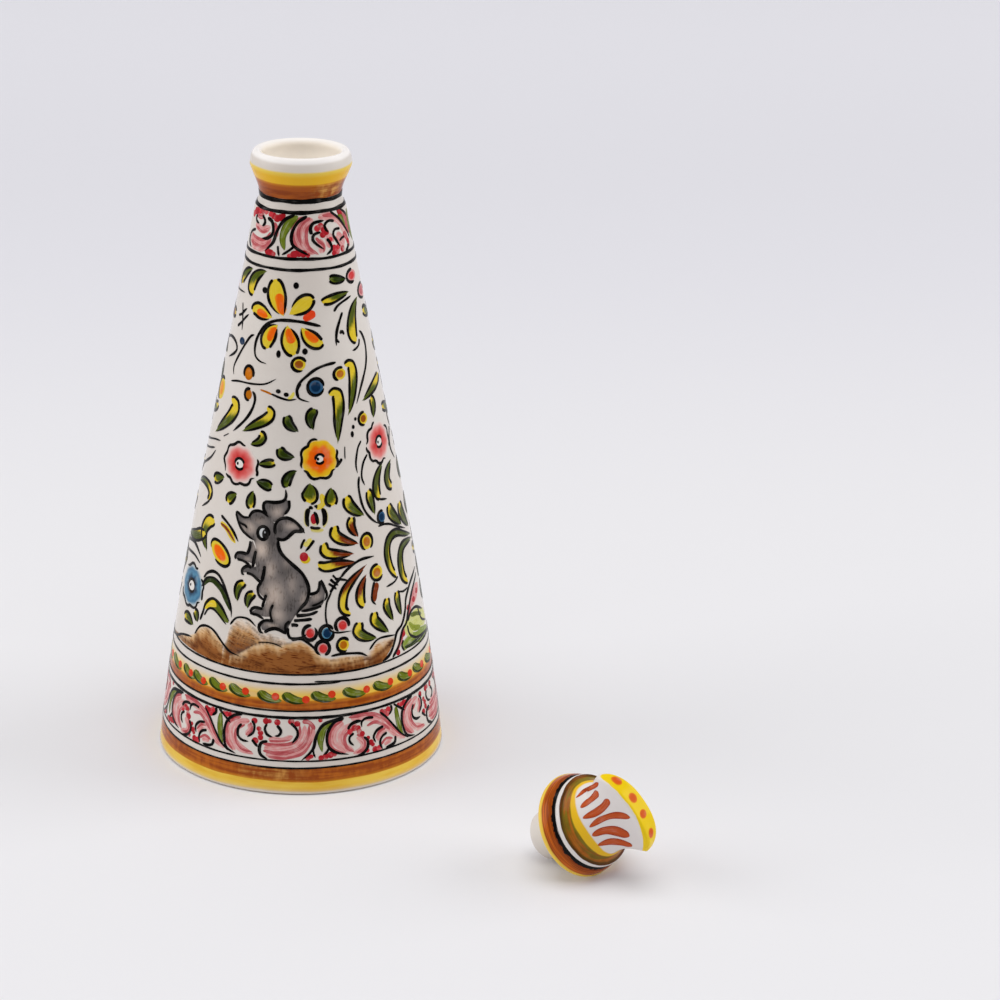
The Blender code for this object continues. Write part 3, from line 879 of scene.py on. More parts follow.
# %% The neck border
NECK_LINES = (
    (0.36, -65.6, 174.8, -66.7, 173.5, -63.9, 172.8, -58.3, 172.5),
    (0.38, -53.3, 175.3, -47.8, 174, -48.3, 172.8, -51.7, 172.1),
    (0.44, -43.9, 175, -37.2, 174.3, -33.9, 172.5, -34.4, 170.5, -40.6, 169, -49.4, 168.5),
    (0.38, -63.9, 170.4, -72.8, 169.3, -77.2, 167.8, -76.1, 166, -68.3, 164.5),
    (0.42, -7.2, 176.8, -18.3, 175.5, -25, 173.5, -29.4, 171, -32.8, 168, -42.8, 165),
    (0.42, 8.3, 176.5, -2.8, 174.8, -9.4, 172, -10.6, 169.5, -7.2, 167.5, 9.4, 164.8),
    (0.34, -7.2, 167.5, -14, 166, -20.6, 164.8), (0.3, -26.1, 167.3, -25.4, 165.8, -23.9, 164.3),
    (0.44, 12.8, 171, 11.7, 172.8, 16.1, 174.4, 29.4, 174.8),
    (0.38, 44.4, 174.1, 36.1, 174.5, 30, 173.5, 30.6, 172.3, 34.4, 171),
    (0.36, 23.9, 171.5, 16.1, 171, 13.9, 169.5, 18.3, 168, 26.7, 166.3),
    (0.38, 31.1, 169.3, 35, 168, 36.7, 166, 29.4, 164.5),
    (0.36, 52.8, 171.4, 43.9, 171.5, 40.6, 170, 43.9, 168.5, 49.4, 166),
    (0.34, 59.4, 168.6, 54, 168.4, 49.4, 167.8), (0.36, 65, 166, 63.9, 165, 58.3, 164.3),
    (0.36, 40.6, 177, 48.3, 175.5, 55, 174, 62.8, 171.5, 69.4, 169, 71.7, 167.3),
    (0.34, 59.4, 177, 70.6, 175, 71.7, 174),
)
NECK_WASHES = (
    (1.35, ROSE, 4, 175.8, -5, 173.8, -7, 170.4, -3.4, 167.8, 6, 165.6),
    (1.35, ROSE, 15, 175.6, 5, 173.6, 2.6, 170.2, 6, 167.2, 16, 165.2),
    (1.3, ROSE, 22, 175.9, 38, 175.8, 50, 174.2, 60, 171.4, 67, 168),
    (1.1, ROSE, 20, 169.2, 25, 167.2, 22, 165.2), (1.2, ROSE, 28, 172.6, 33, 169.4, 34, 166.4),
    (1, ROSE, 44, 169.4, 50, 167.4, 56, 165.2), (1.2, PINK, 64, 175.6, 70, 172.4, 72, 168.6),
    (0.9, PINK, 58, 169.8, 64, 168, 68, 165), (0.8, PINK, -72, 176, -60, 174.6, -50, 175.4),
    (0.8, PINK, -34, 174, -30, 172, -30, 169.4), (0.8, ROSE, 30, 170.6, 36, 170, 40.6, 168),
    (1.1, ROSE, -66, 171.9, -50, 171, -38, 172.6),
    (1.55, ROSE, -74, 167.5, -58, 166.9, -44, 167.4, -36.6, 170),
    (0.85, ROSE, -67, 165.3, -50, 165.2, -39, 166.6), (0.9, ROSE, 46, 170, 52, 169.4, 58, 166.4),
    (0.52, PINK, 3, 176.4, -8, 174.2, -9, 170.5, -4.6, 167.3, 6, 165),
    (0.55, PINK, 12, 176, 2, 174.4, -2.4, 171.6, 0.6, 168),
    (0.5, PINK, 16, 174.4, 8, 172.8, 6.5, 170, 10, 167, 20, 164.9),
    (0.55, PINK, 28, 176.3, 42, 175.9, 54, 174.4, 63, 171.4, 68, 169),
    (0.46, PINK, 17.6, 170, 22, 168.6, 27, 167.4, 26, 165.3),
    (0.5, PINK, -72, 168.7, -56, 168, -44, 168.5, -37, 171),
    (0.52, PINK, -72, 166.6, -56, 166, -43, 166.4, -35, 169),
    (0.42, PINK, -62, 171.3, -50, 170.4, -42, 171.2),
)
NECK_DOTS = (
    (-38.5, 165.1, 1.1), (-34.5, 164.9, 1.1), (-31, 164.7, 0.8), (-12, 164.6, 0.8), (-7, 165.2, 1.15),
    (-2, 165.6, 1.25), (3, 165.4, 1.15), (8, 164.9, 0.7), (-35, 175.9, 1), (-30, 175.4, 1.2),
    (-25.6, 175.7, 1.1), (-22, 176.4, 0.8), (-40, 176.3, 0.9), (-60, 176.2, 0.95), (-54, 176.5, 0.95),
    (-48, 176.6, 0.9), (-71, 175.6, 1.2), (-67, 175.9, 1.1), (-76, 174.4, 1.1), (20, 172.7, 1),
    (24.5, 173.2, 1.05), (28.3, 172.1, 1), (26.6, 170.6, 1), (31.6, 171.2, 0.9), (36, 168.9, 0.8),
    (40, 166.1, 1.1), (44, 165.1, 1.1), (46.4, 166.2, 0.9), (39, 164.6, 0.8), (53, 165.2, 1),
    (56.5, 176.4, 1.1), (62, 175.9, 0.9), (66, 166.9, 0.8),
)
NECK_LEAVES = (
    (1.25, -3, 176.5, -12, 174.8, -18.6, 172.2, -21, 169.4, -18, 166.2),
    (1, 54, 175.9, 59.5, 173.6, 65.6, 171.6), (1.1, 80, 175.8, 77, 172.5, 79, 168.5, 84, 165.6),
)


# %% Setting the figures round the pot
FAN = (FAN_LINES, FAN_WASHES, FAN_DOTS, FAN_LEAVES)
WAVE = (WAVE_LINES, WAVE_WASHES, WAVE_DOTS, WAVE_LEAVES)
NECK = (NECK_LINES, NECK_WASHES, NECK_DOTS, NECK_LEAVES)
FIRST_FAN = -72.0
DRAWN = 3
washes = Pot("paint_scroll_washes", 0.02, on_rings)
strokes = Pot("paint_scroll_lines", 0.09, on_rings, press=1.2)


def figure(start, stretch, origin, marks):
    """Draws one figure: azimuths count from its own origin, are stretched, and start at start."""
    def moved(points):
        """(azimuth - origin) stretch + start, with the height kept."""
        return (np.reshape(points, (-1, 2)) - (origin, 0.0)) * (stretch, 1.0) + (start, 0.0)

    figure_lines, figure_washes, figure_dots, figure_leaves = marks
    for half, pigment, *points in figure_washes:
        deep = pigment is PINK
        washes.stroke(moved(points), half, pigment, watery=0.35 if deep else 0.75, start=0.15, stop=0.25,
                      soft=0.0 if deep else 0.35, lanes=5, over=int(deep))
    for azimuth, height, size in figure_dots:
        shade = paint(200, 52, 62) if int(azimuth * 7) % 4 == 0 else RED
        washes.disc(moved((azimuth, height))[0], size, size * 0.95, shade, cells=5, watery=0.42, over=3)
    for half, *points in figure_leaves:
        washes.stroke(moved(points), half, paint(112, 126, 36), watery=0.3, start=0.25, stop=0.5, lanes=5,
                      rim=paint(70, 86, 18), over=2)
    for half, *points in figure_lines:
        strokes.stroke(moved(points), half)


def border():
    """Fans and waves in turn: three as drawn, and five more stretched to close the circle."""
    figures = [(FAN_TURN, FAN_START, FAN), (WAVE_TURN, WAVE_START, WAVE)] * 4
    drawn, rest = (sum(turn for turn, *_ in part) for part in (figures[:DRAWN], figures[DRAWN:]))
    azimuth = FIRST_FAN
    for number, (turn, origin, marks) in enumerate(figures):
        stretch = 1.0 if number < DRAWN else (360.0 - drawn) / rest
        figure(azimuth, stretch, origin, marks)
        azimuth += turn * stretch


for name, marks in (("fan", FAN), ("wave", WAVE), ("neck", NECK)):
    print(name, "lines, washes, dots and leaves:", [len(rows) for rows in marks])
border()
figure(0.0, 1.0, 0.0, NECK)
figure(180.0, 1.0, 0.0, NECK)
washes.pour()
strokes.pour()

# %% [markdown]
# The garland
#
# Twenty-eight short leaves with a red dot after each run round the yellow band. Each leaf is a
# comma: a fat head pressed down and a tail drawn to the right, with a darker lower edge. No
# two steps are quite alike, so the front ones are listed and the rest fill the circle.

# %% Leaves and dots of the garland
garland = Pot("paint_garland", 0.03, on_rings)
chance = np.random.default_rng(7)
# azimuth and drop of a leaf's head, then how far right of it the dot is and its drop
FRONT_LEAVES = (
    (-65.8, 0.3, 6, 0.2), (-56.8, 0.3, 7, 0.5), (-45.1, 0.3, 7.4, 0.2), (-33.3, 0.4, 7.6, 0),
    (-18.9, 1, 7.4, 0.5), (-7.5, 1, 9.6, 1.2), (5.4, 0.7, 8.4, 0), (19.9, 0.5, 10.8, 0.2),
    (35.2, 0.5, 9.2, 0), (50.3, 0.3, 8.4, 0.2), (62.5, 0.3, 8, 0.2),
)
REST = 17
step_on = (FRONT_LEAVES[0][0] + 360.0 - FRONT_LEAVES[-1][0]) / (REST + 1)
all_leaves = list(FRONT_LEAVES) + [
    (FRONT_LEAVES[-1][0] + step_on * (number + 1) + chance.uniform(-0.8, 0.8), chance.uniform(0.2, 0.9),
     chance.uniform(7.4, 9.6), chance.uniform(0.0, 0.6)) for number in range(REST)]
COMMA = ((0.0, 33.1), (1.2, 31.9), (4.8, 30.9), (10.2, 30.4))
LOWER_EDGE = ((-0.5, 32.6), (0.5, 31.1), (3.4, 30.0), (8.0, 29.7))
for azimuth, drop, gap, dot_drop in all_leaves:
    garland.stroke(np.add(COMMA, (azimuth, -drop)), 1.42, paint(112, 124, 30), watery=0.3, start=0.16,
                   stop=0.6, lanes=7, rim=DARK_GREEN)
    garland.stroke(np.add(LOWER_EDGE, (azimuth, -drop)), 0.36, DARK_GREEN, watery=0.2, start=0.3, stop=0.5,
                   lanes=4, over=1)
    garland.disc((azimuth + gap, 31.2 - dot_drop), 1.2, 1.15, DOT_RED, cells=6, watery=0.15, over=2)
garland.pour()

# %% [markdown]
# Leaves, petals, buds and flowers
#
# The picture field is made of a few kinds of mark. A leaf is filled along its middle line,
# yellow at its rounded head and green to its tail, and has a black line down each side. A
# petal is the same with an orange core. A bud is an oval with a dark heart and a broken black
# ring. A flower has soft rings of colour, a white eye and a scalloped black edge with gaps.

# %% Leaf and petal
fills = Pot("paint_field_fills", 0.03, on_field)
inks = Pot("paint_field_lines", 0.09, on_field, press=1.15)


def leaf(points, half, head=YELLOW, tail=GREEN, turn=0.36, left=(0.0, 0.96), right=(0.06, 0.9), ink=0.38,
         full=0.3):
    """A leaf from its head to its tail: up a quarter circle to full width, then down as a power.

    Its colour turns from head to tail at a share of its length, sooner on a short leaf.
    """
    path, share, _, length = curve(points)
    turn = turn * np.clip(length / 13.0, 0.45, 1.0)
    rise = 1.0 - np.clip(share / full, 0.0, 1.0)
    fall = np.clip((share - full) / (1.0 - full), 0.0, 1.0)
    width = half * np.sqrt(1.0 - rise**2) * (1.0 - fall**1.8)
    azimuth, height, side = spread(path, np.maximum(width, 0.06), 7)
    rim_left = 0.30 * np.clip((-side - 0.5) / 0.5, 0.0, 1.0)
    colour = blend(head, tail, (share[:, None] - turn + 0.105 * side - rim_left) / 0.10 + 0.5)
    deeper = np.clip((share[:, None] - turn) / 0.15, 0.0, 1.0) * (1 - side**2)
    colour = blend(colour, DARK_GREEN if tail is GREEN else tail, 0.4 * deeper)
    fills.lay(azimuth, height, colour, 1.0, share[:, None] * length, side * half, 0.10)
    even = np.linspace(0.0, 1.0, max(9, len(path) // 2))
    for (first, last), side in ((left, 1), (right, 0)):
        span = first + (last - first) * (even - 0.12 * np.sin(2.0 * np.pi * even))
        off = np.interp(span, share, width) + 0.12
        edges = np.stack(spread(cut(path, span, share), off, 2)[:2], -1)
        inks.stroke(edges[:, side], ink, start=0.05, stop=0.45)


def petal(points, half, core):
    """A yellow petal with an orange heart along its own line and a heavy outline."""
    leaf(points, half, YELLOW, YELLOW, ink=0.40, left=(0.0, 0.97), right=(0.04, 0.9), full=0.45)
    fills.stroke(core, half * 0.60, ORANGE, watery=0.08, start=0.3, stop=0.4, lanes=7,
                 rim=paint(240, 156, 24), over=1)


# %% Bud, flower and berry
def oval_line(centre, across, up, start, stop, half, tilt=0.0, lobes=0, depth=0.0):
    """Part of an oval outline, from one angle to another, its radius cut back between lobes."""
    angle = np.radians(np.linspace(start, stop, max(6, int(abs(stop - start) / 9))))
    radius = 1.0 - depth * (1.0 - np.abs(np.sin(angle * lobes / 2)))
    right, rise = tilted(across * radius * np.cos(angle), up * radius * np.sin(angle), tilt)
    inks.stroke(np.stack(beside(centre, right, rise), -1), half, start=0.12, stop=0.2)


def bud(centre, across, up, outer, heart, gap, tilt=0.0):
    """An oval bud: outer colour, a darker heart, and a ring of ink from one angle to the other."""
    def colour(radius, angle):
        """The heart's colour, turning to the outer one from 0.82 of the radius on."""
        return blend(heart, outer, (radius - 0.82) / 0.18)

    fills.disc(centre, across, up, outer, tilt=tilt, cells=9, watery=0.1)
    fills.disc(centre, across * 0.72, up * 0.72, colour, tilt=tilt, cells=9, watery=0.1, over=1)
    oval_line(centre, across + 0.2, up + 0.2, *gap, 0.42, tilt)


def flower(centre, across, up, rings, arcs, eye=0.22, lobes=9, edge=0.3):
    """A round flower: rings of colour as (radius, colour), a white eye and a scalloped edge."""
    stops = np.array([radius for radius, colour in rings])
    colours = np.array([colour[:3] for radius, colour in rings])

    def colour(radius, angle):
        """The rings' colours, read at a wavy radius: r + 0.04 sin 5a + 0.03 sin 9a."""
        place = radius + 0.04 * np.sin(angle * 5) + 0.03 * np.sin(angle * 9)
        return np.stack([np.interp(place, stops, colours[:, part]) for part in range(3)], -1)

    def load(radius, angle):
        """Full inside, and thinner evenly towards the edge."""
        return np.clip((1.03 - radius) / edge, 0.0, 1.0)

    fills.disc(centre, across, up, colour, load, cells=22, watery=0.12, lobes=lobes, depth=0.05)
    fills.disc(centre, across * eye, up * eye, paint(232, 226, 220), cells=8, watery=0.0, over=2)
    for start, stop in arcs:
        oval_line(centre, across * 1.06, up * 1.06, start, stop, 0.38, lobes=lobes, depth=0.13)
    for start, stop, half in ((15, 190, 0.38), (212, 335, 0.34)):
        oval_line(centre, across * (eye + 0.05), up * (eye + 0.05), start, stop, half)
    inks.disc(beside(centre, -0.10 * across, 0.0), 0.42, 0.5, BLACK, cells=4, watery=0.02)


def berry(centre, across, up, heart, halo, gap):
    """A berry: a small heart in a pale halo, and a thick ring with a white sickle left inside it."""
    place = beside(centre, 0.15, -0.15)
    fills.disc(place, across * 0.78, up * 0.78, halo, cells=8, watery=0.1, over=1)
    fills.disc(place, across * 0.60, up * 0.62, heart, cells=7, watery=0.12, over=2)
    oval_line(centre, across + 0.1, up + 0.1, *gap, 0.50)


PINK_RINGS = ((0.22, paint(178, 40, 44)), (0.38, paint(206, 62, 60)), (0.58, paint(220, 98, 94)),
              (0.80, paint(228, 152, 146)), (1.0, paint(230, 196, 190)))
ORANGE_RINGS = ((0.2, paint(220, 80, 8)), (0.35, paint(236, 92, 8)), (0.62, paint(240, 112, 14)),
                (0.72, paint(236, 168, 28)), (1.0, paint(236, 204, 40)))
BLUE_RINGS = ((0.25, paint(14, 30, 48)), (0.42, paint(30, 66, 96)), (0.62, paint(84, 138, 168)),
              (0.80, paint(70, 118, 150)), (1.0, paint(150, 184, 198)))

# %% [markdown]
# The branch over the front
#
# The marks are listed from the top of the field down: the big fluttering blossom, the leaves
# of the upper branch, the three round flowers, and the spray of brown leaves at the right.
# What the camera can't see follows the same habit: the same marks, half a turn round.

# %% The blossom
# half width, the middle line, and the line of the orange heart
PETALS = (
    (2.75, (-24.6, 157.4, -24.4, 153.6, -20.8, 149.8, -15.6, 146.6), (-21.4, 153.2, -18.8, 149.8, -16, 147)),
    (1.95, (-50, 146.6, -43.5, 147.4, -35, 146.4, -26.5, 145.7), (-43.5, 146.8, -38, 146.4, -31, 145.8)),
    (2.15, (-29.5, 136.2, -29.8, 138.8, -26, 141.8, -20.6, 143.8), (-28, 138.6, -26, 140.8, -22, 143)),
    (2.5, (-6.4, 134.9, -8.2, 137.8, -10.4, 141, -11.8, 143.9), (-7, 138.6, -9.4, 141, -11.2, 143)),
    (2.05, (19.2, 138.3, 13.4, 138.7, 6.4, 140.8, 0.6, 143.4), (15.2, 139.2, 9.4, 140.4, 3.6, 142.4)),
)
BLOSSOM_CURVE = (-28.8, 131.7, -35, 132.1, -39.7, 133.4, -41.2, 135.9, -39.7, 139, -35, 142.1, -29.1, 144,
                 -21.5, 145.1, -11.5, 145.4, 0, 145.1, 9, 144.4, 18.2, 143.5)


def blossom():
    """The seven-petalled blossom and its long curl."""
    for half, points, core in PETALS:
        petal(points, half, core)
    leaf((12.6, 151.7, 6.6, 151.2, -2, 149.2, -10.4, 147.2), 2.3, YELLOW, YELLOW, left=(0.0, 0.9),
         right=(0.0, 0.8), ink=0.42, full=0.4)
    fills.stroke((2.2, 145.9, 7, 146.6, 13, 148), 1.25, paint(232, 70, 30), watery=0.1, start=0.3, lanes=6)
    inks.stroke(BLOSSOM_CURVE, 0.42, start=0.5, stop=0.05)


print("blossom:", len(PETALS), "petals with a heart")

# %% Leaves of the field
GREEN_LEAVES = (
    (1.65, -51.6, 151.2, -55.6, 153.2, -52.5, 156.2, -45, 158.2, -36.5, 159.2),
    (1.2, -76, 152.6, -75, 154.6, -67, 157.2, -57.2, 158.7), (1.1, 20, 150.8, 27, 150.9, 39, 151.6, 53, 152),
    (1.85, 53.5, 136.4, 50.5, 139.4, 52, 143.4, 57.5, 147, 66.5, 149.4),
    (1.45, 37.2, 130.8, 43.5, 130.4, 44.7, 127, 42.5, 122.5, 38.8, 118, 35.6, 115.4),
    (1.6, 21.4, 122.8, 27.6, 122.9, 28.8, 119, 27, 113.6, 25.6, 107.6),
    (1.3, 62.5, 118.4, 63.5, 115.6, 61, 111.9), (1.35, 82, 123.5, 72, 121.6, 61, 119.9, 51, 118.4),
    (1.8, -60.5, 118.2, -54.2, 116.8, -57, 113.6, -64, 110.2, -76, 105.4),
    (1.35, -24.8, 118.8, -21.9, 117, -25.5, 114.9, -34, 112.6, -44.4, 109.8),
    (1.05, -28.8, 110.9, -26.6, 109.4, -29.6, 107.7, -36.2, 106.6),
    (0.95, -17, 102, -20.5, 101.9, -28.6, 101.1), (2.3, 3.2, 90.8, 5.6, 92.8, 5.6, 96.4),
    (1.75, 18.6, 89, 18.6, 91.6, 18.9, 94.6), (1.55, 29.4, 91.3, 29.7, 88.6, 34, 86.2, 40, 84.1),
    (1.3, 46, 91.4, 46.3, 88.6, 47.4, 85.8, 48.4, 83.2), (1.45, -66.6, 92.1, -62, 92.8, -55.5, 94),
    (1.45, -49.8, 87.2, -47.4, 88.7, -42.4, 90.6), (1.35, -31.6, 87.3, -31.6, 89.6, -30.4, 92.8),
    (0.95, -69.5, 84.6, -67.6, 86.8, -71, 88.7, -80, 89.3, -90, 87.5),
    (1.85, -58.5, 79.1, -64, 78.7, -68, 75.8, -66.8, 72.8, -62, 69.4),
    (1.1, -30.6, 64.2, -33.8, 63.2, -35, 61, -34.4, 58.1),
    (1.05, -24.6, 61.5, -27.4, 60.6, -28.3, 58.6, -28, 56.7), (1.4, -74.3, 46.1, -70, 46.3, -64, 45.2),
    (1.2, -64.5, 49.9, -62.5, 48.8, -61, 46.8), (1.5, 30.9, 51.9, 28.6, 49.4, 32.5, 47.2, 39.4, 45.7),
    (1.45, 40.4, 53.8, 38.9, 51.6, 42.5, 49, 47.6, 46.1), (1.25, 50, 56.6, 48.3, 54.6, 49.6, 52, 51.8, 49),
    (1.2, 58.5, 57.2, 57.4, 55, 57.9, 52, 58.8, 49.2), (1.3, -79, 113.5, -86, 112.2, -95, 110),
    (1.35, 86, 134.2, 90, 131.6, 97, 130), (1.35, -88, 94.5, -93, 92.4, -95, 88.6),
    (1.5, 84, 66, 90, 64.6, 96, 61.4), (1.35, -86, 62, -91, 59.4, -92.6, 55),
    (1.25, 91, 53.5, 87.4, 51, 88, 47.6), (1.2, 88, 126.4, 93, 124.6, 96, 121),
    (1.4, 92, 82.6, 87.6, 80.2, 87, 76.4), (1.5, 73, 144.8, 80, 143.6, 92, 142),
    (1.3, 76.5, 113.6, 83, 112.6, 93, 111.8),
)
OLIVE_LEAVES = (
    (1.45, 54.8, 87.2, 52.9, 90.3, 54.8, 93.6, 58.8, 95.8, 64, 97.5),
    (1.4, 70, 88.4, 65.8, 91, 68, 94, 75, 96.6), (1.7, 64, 84.1, 63.8, 81.6, 67.8, 79, 74, 75.6),
    (1.7, 77, 82.6, 76, 80, 79, 76.5, 84, 73),
    (1.2, 59.8, 61.6, 55.5, 65.6, 54.6, 70.6, 58.5, 74, 66, 74.6, 76, 72.2, 86, 70),
    (1.35, 70, 57.6, 65.8, 61, 66, 66, 69.5, 69, 76, 69.6, 86, 69),
    (1.7, -66, 74, -72, 73, -78, 71.6, -90, 70.6),
)
DARK_LEAVES = (
    (1.1, 30.2, 157.6, 33.8, 157, 41, 156.5, 51.5, 156), (1.3, 10.9, 118.7, 7, 116.8, 6.8, 114.6, 8.8, 112.4),
    (1.25, -9.4, 116.8, -9, 114.6, -6, 113.2, -1.6, 112),
    (1.3, -13.7, 107, -12.6, 105, -9, 104.5, -3.9, 104.2), (1.2, -9.2, 95, -9, 97.2, -6.3, 99.2, -2.4, 100.2),
    (1.35, -18.4, 94.4, -22, 95.2, -29, 95.9),
)
BROWN_LEAVES = (
    (1.15, 31.8, 84.5, 29.9, 82.6, 31.2, 80.4, 34.2, 78.1), (1.35, 20.6, 82.8, 19.4, 80.2, 24.5, 78, 34, 76),
    (1.3, 13.4, 78, 13.4, 75.2, 19.5, 74.1, 30.5, 73.3), (1.3, 9.2, 71.7, 13, 70.6, 21, 70.9, 31.4, 70.6),
    (1.15, 25.6, 55, 21.6, 57.2, 23, 62, 28.5, 65.6, 37.8, 69.1),
    (1.3, 33.4, 56.4, 31.8, 59, 33, 62.6, 37, 66.1), (1.3, -78, 142.6, -86, 143, -95, 142),
)

# %% Lines of the field
FIELD_LINES = (
    (0.26, -65, 123.1, -54.4, 124.2, -39.1, 124.8, -28, 125.6, -19.4, 127.5),
    (0.4, -38.8, 122.6, -36.3, 121.4, -35.9, 119.4, -38.5, 116.2, -44, 112.8, -53.2, 108.8),
    (0.16, -63.2, 105.9, -57.4, 107.5), (0.28, -22.6, 122.9, -14.4, 121.9, -8.5, 121.5, -3, 121.9),
    (0.38, 29.4, 132.1, 20, 131.7, 11.8, 130.7, 4.7, 128.8, -0.3, 127, -2.7, 125, -2.6, 123, 0, 121.8, 6.2,
     121),
    (0.4, -0.3, 126.6, -2.8, 124.4, -1.5, 122),
    (0.4, 60, 139.3, 63.5, 138.1, 66.5, 134.9, 65.3, 131.2, 61.8, 128.1, 56.5, 125.3, 50.6, 122.1, 44.7,
     118.2),
    (0.34, 31.8, 147.3, 35.9, 148.7, 42.4, 149.6, 55.3, 150.6),
    (0.4, 41, 146.6, 36.5, 144, 33, 141.4, 31.4, 138.6, 31.4, 137),
    (0.34, 31.6, 139.4, 32.6, 138.4, 34.6, 137.8), (0.36, 36.3, 140.3, 37.6, 141.1, 39, 140.7, 40.4, 139.8),
    (0.32, 58.4, 137, 56.5, 135.3, 51.8, 134.5, 47.6, 134.3),
    (0.36, -70.3, 143.2, -65, 144, -61.5, 145.3, -57.4, 146.4),
    (0.36, -69.1, 139.9, -62.6, 141.8, -58.5, 143.4, -53.8, 144.9),
    (0.24, -66.4, 147.4, -63.8, 144.8, -61.8, 142.3, -60.6, 139.4),
    (0.34, -43.5, 139.5, -47.4, 138.7, -52, 136.4, -58.5, 132.4, -62.8, 129.3, -64.3, 127.4, -62.9, 125.4),
    (0.4, -92, 134, -79.1, 135.7, -68.5, 135.2, -63.8, 133.4, -67, 131.6, -76.2, 129.4),
    (0.2, -92, 150, -76.2, 150.4, -65.6, 150.6), (0.26, -90, 101.6, -82, 102.4, -74, 103.4, -66, 104),
    (0.28, -90, 98.8, -80, 99.8, -72, 101), (0.34, 84, 106, 79, 103, 78, 99.6, 82, 96),
    (0.3, 88, 112, 84, 109.4, 86, 106), (0.36, -92, 92, -80.3, 95.6, -75.6, 97.2, -72.1, 99.2, -70.4, 100.4),
    (0.3, 44.6, 106.8, 41.2, 105, 39.1, 102.5, 37.9, 100, 38.4, 97.4),
    (0.32, 48.8, 102.1, 44.7, 100.3, 42.4, 98.1, 41.5, 95.6, 43.2, 93.1),
    (0.36, 39.4, 96.3, 38.2, 93.6, 38.5, 90, 39.8, 86.8, 42.4, 84.2, 46.5, 81.7, 51.2, 79.9),
    (0.3, 50, 79.3, 55.6, 79.1, 61.1, 78.2, 66.7, 76.6, 78, 73.6),
    (0.16, 30.6, 106.3, 30.2, 104.4, 30, 102.5), (0.36, 27.6, 102.9, 26, 101.8, 22.6, 100.4),
    (0.3, 50.4, 89.6, 51.6, 88.1, 55.6, 87, 62.2, 86.1),
    (0.38, 21.4, 66.8, 25, 68.7, 30, 70.3, 35.6, 71.1, 43.8, 70.9), (0.34, 18, 66.6, 21, 66.3, 25.4, 65.6),
    (0.4, 15.2, 62.6, 18.4, 65, 22, 67.2), (0.34, 14.5, 65.4, 16.4, 64.6, 18.8, 63.4),
    (0.34, 15.6, 66.7, 17.4, 65.6, 19.8, 64.5), (0.28, 17, 67.9, 18.6, 66.8, 20.8, 65.9),
    (0.26, 16.2, 63.2, 14.7, 61.4, 13.2, 59.6, 12.4, 56.8, 12.6, 53.8, 14, 51.4, 17, 50.1, 25.2, 49.9),
    (0.34, 41.8, 63.2, 39.7, 60.5, 38.9, 57.8, 41.1, 56), (0.28, 61, 61.4, 57, 60.4, 50, 60.1),
    (0.26, 59.6, 56.8, 64, 56, 69, 56.2), (0.38, -53.3, 82.4, -46.7, 80.8, -41.7, 78.9, -37.5, 76.3),
    (0.3, -66.4, 87.6, -68, 84.6, -75.6, 81.4),
    (0.42, -92, 68, -80, 69.3, -75.6, 69.3, -71.1, 68.2, -66.9, 66.6),
    (0.34, -92, 65, -80, 65.8, -73.3, 65.8, -66.6, 64.6),
    (0.42, -61.1, 61.2, -57.8, 63.5, -52.2, 64.7, -46.7, 63.5, -41.1, 59.3, -37.8, 55.5, -36.9, 52.8),
    (0.3, -61.8, 58.2, -58, 61.6, -52.2, 62.7, -46, 61.5, -40.4, 58.4),
    (0.42, -58.8, 48, -57.2, 51, -56.2, 53.6, -53.3, 55.7, -49.4, 56.5, -43.9, 55, -38, 51.4),
    (0.32, -55.8, 50.2, -53.5, 52.6, -50, 53.4, -45.6, 52.5, -39.6, 50.1),
    (0.32, 2.2, 79.4, 0.9, 78.2, -0.2, 76.4), (0.36, 7.4, 79, 5.2, 77.4, 2.4, 75.6),
)
# azimuth, height, half width, half height
FIELD_DOTS = (
    (-17.1, 123.9, 0.8, 0.65), (-10.9, 123.1, 0.8, 0.65), (-36.8, 153.5, 0.95, 0.95), (-4.4, 155.9, 0.85, 1),
    (-18.5, 135.1, 0.7, 1.15), (3.5, 136.2, 0.85, 0.95), (41.8, 113.8, 0.5, 0.55), (39.1, 111.6, 0.55, 0.65),
    (37.6, 109.5, 0.6, 0.95), (0.4, 82.2, 0.8, 0.8),
)
# middle, half width and height, outer colour, heart, and where its ring starts and stops
BUDS = (
    ((-44.6, 127.6), 1.75, 2.1, OCHRE, paint(206, 116, 18), (-20, 215)),
    ((-42.3, 121.3), 1.35, 1.55, OCHRE, OCHRE, (70, 290)),
    ((32.2, 128.4), 2.0, 1.75, YELLOW, OCHRE, (60, 250)),
    ((49.6, 113.1), 1.9, 1.75, YELLOW, paint(150, 78, 14), (70, 280)),
    ((-1.4, 132.3), 2.0, 1.85, YELLOW, paint(150, 78, 14), (20, 300)),
    ((39.7, 76.0), 2.1, 2.35, YELLOW, OCHRE, (-60, 250)),
    ((44.4, 65.7), 2.4, 2.2, YELLOW, OCHRE, (70, 330)),
    ((20.6, 46.0), 1.85, 1.9, YELLOW, OCHRE, (30, 300)),
    ((54.2, 81.6), 1.75, 1.75, paint(48, 92, 128), BLUE, (60, 300)),
    ((11.4, 125.4), 2.3, 2.35, paint(48, 92, 128), BLUE, (0, 350)),
    ((62.0, 156.3), 2.6, 1.75, ROSE, LIGHT_RED, (80, 290)),
    ((80.0, 150.2), 3.1, 2.0, ROSE, PINK, (70, 280)),
    ((-79.0, 119.0), 2.4, 3.4, YELLOW, paint(236, 150, 30), (60, 260)),
)
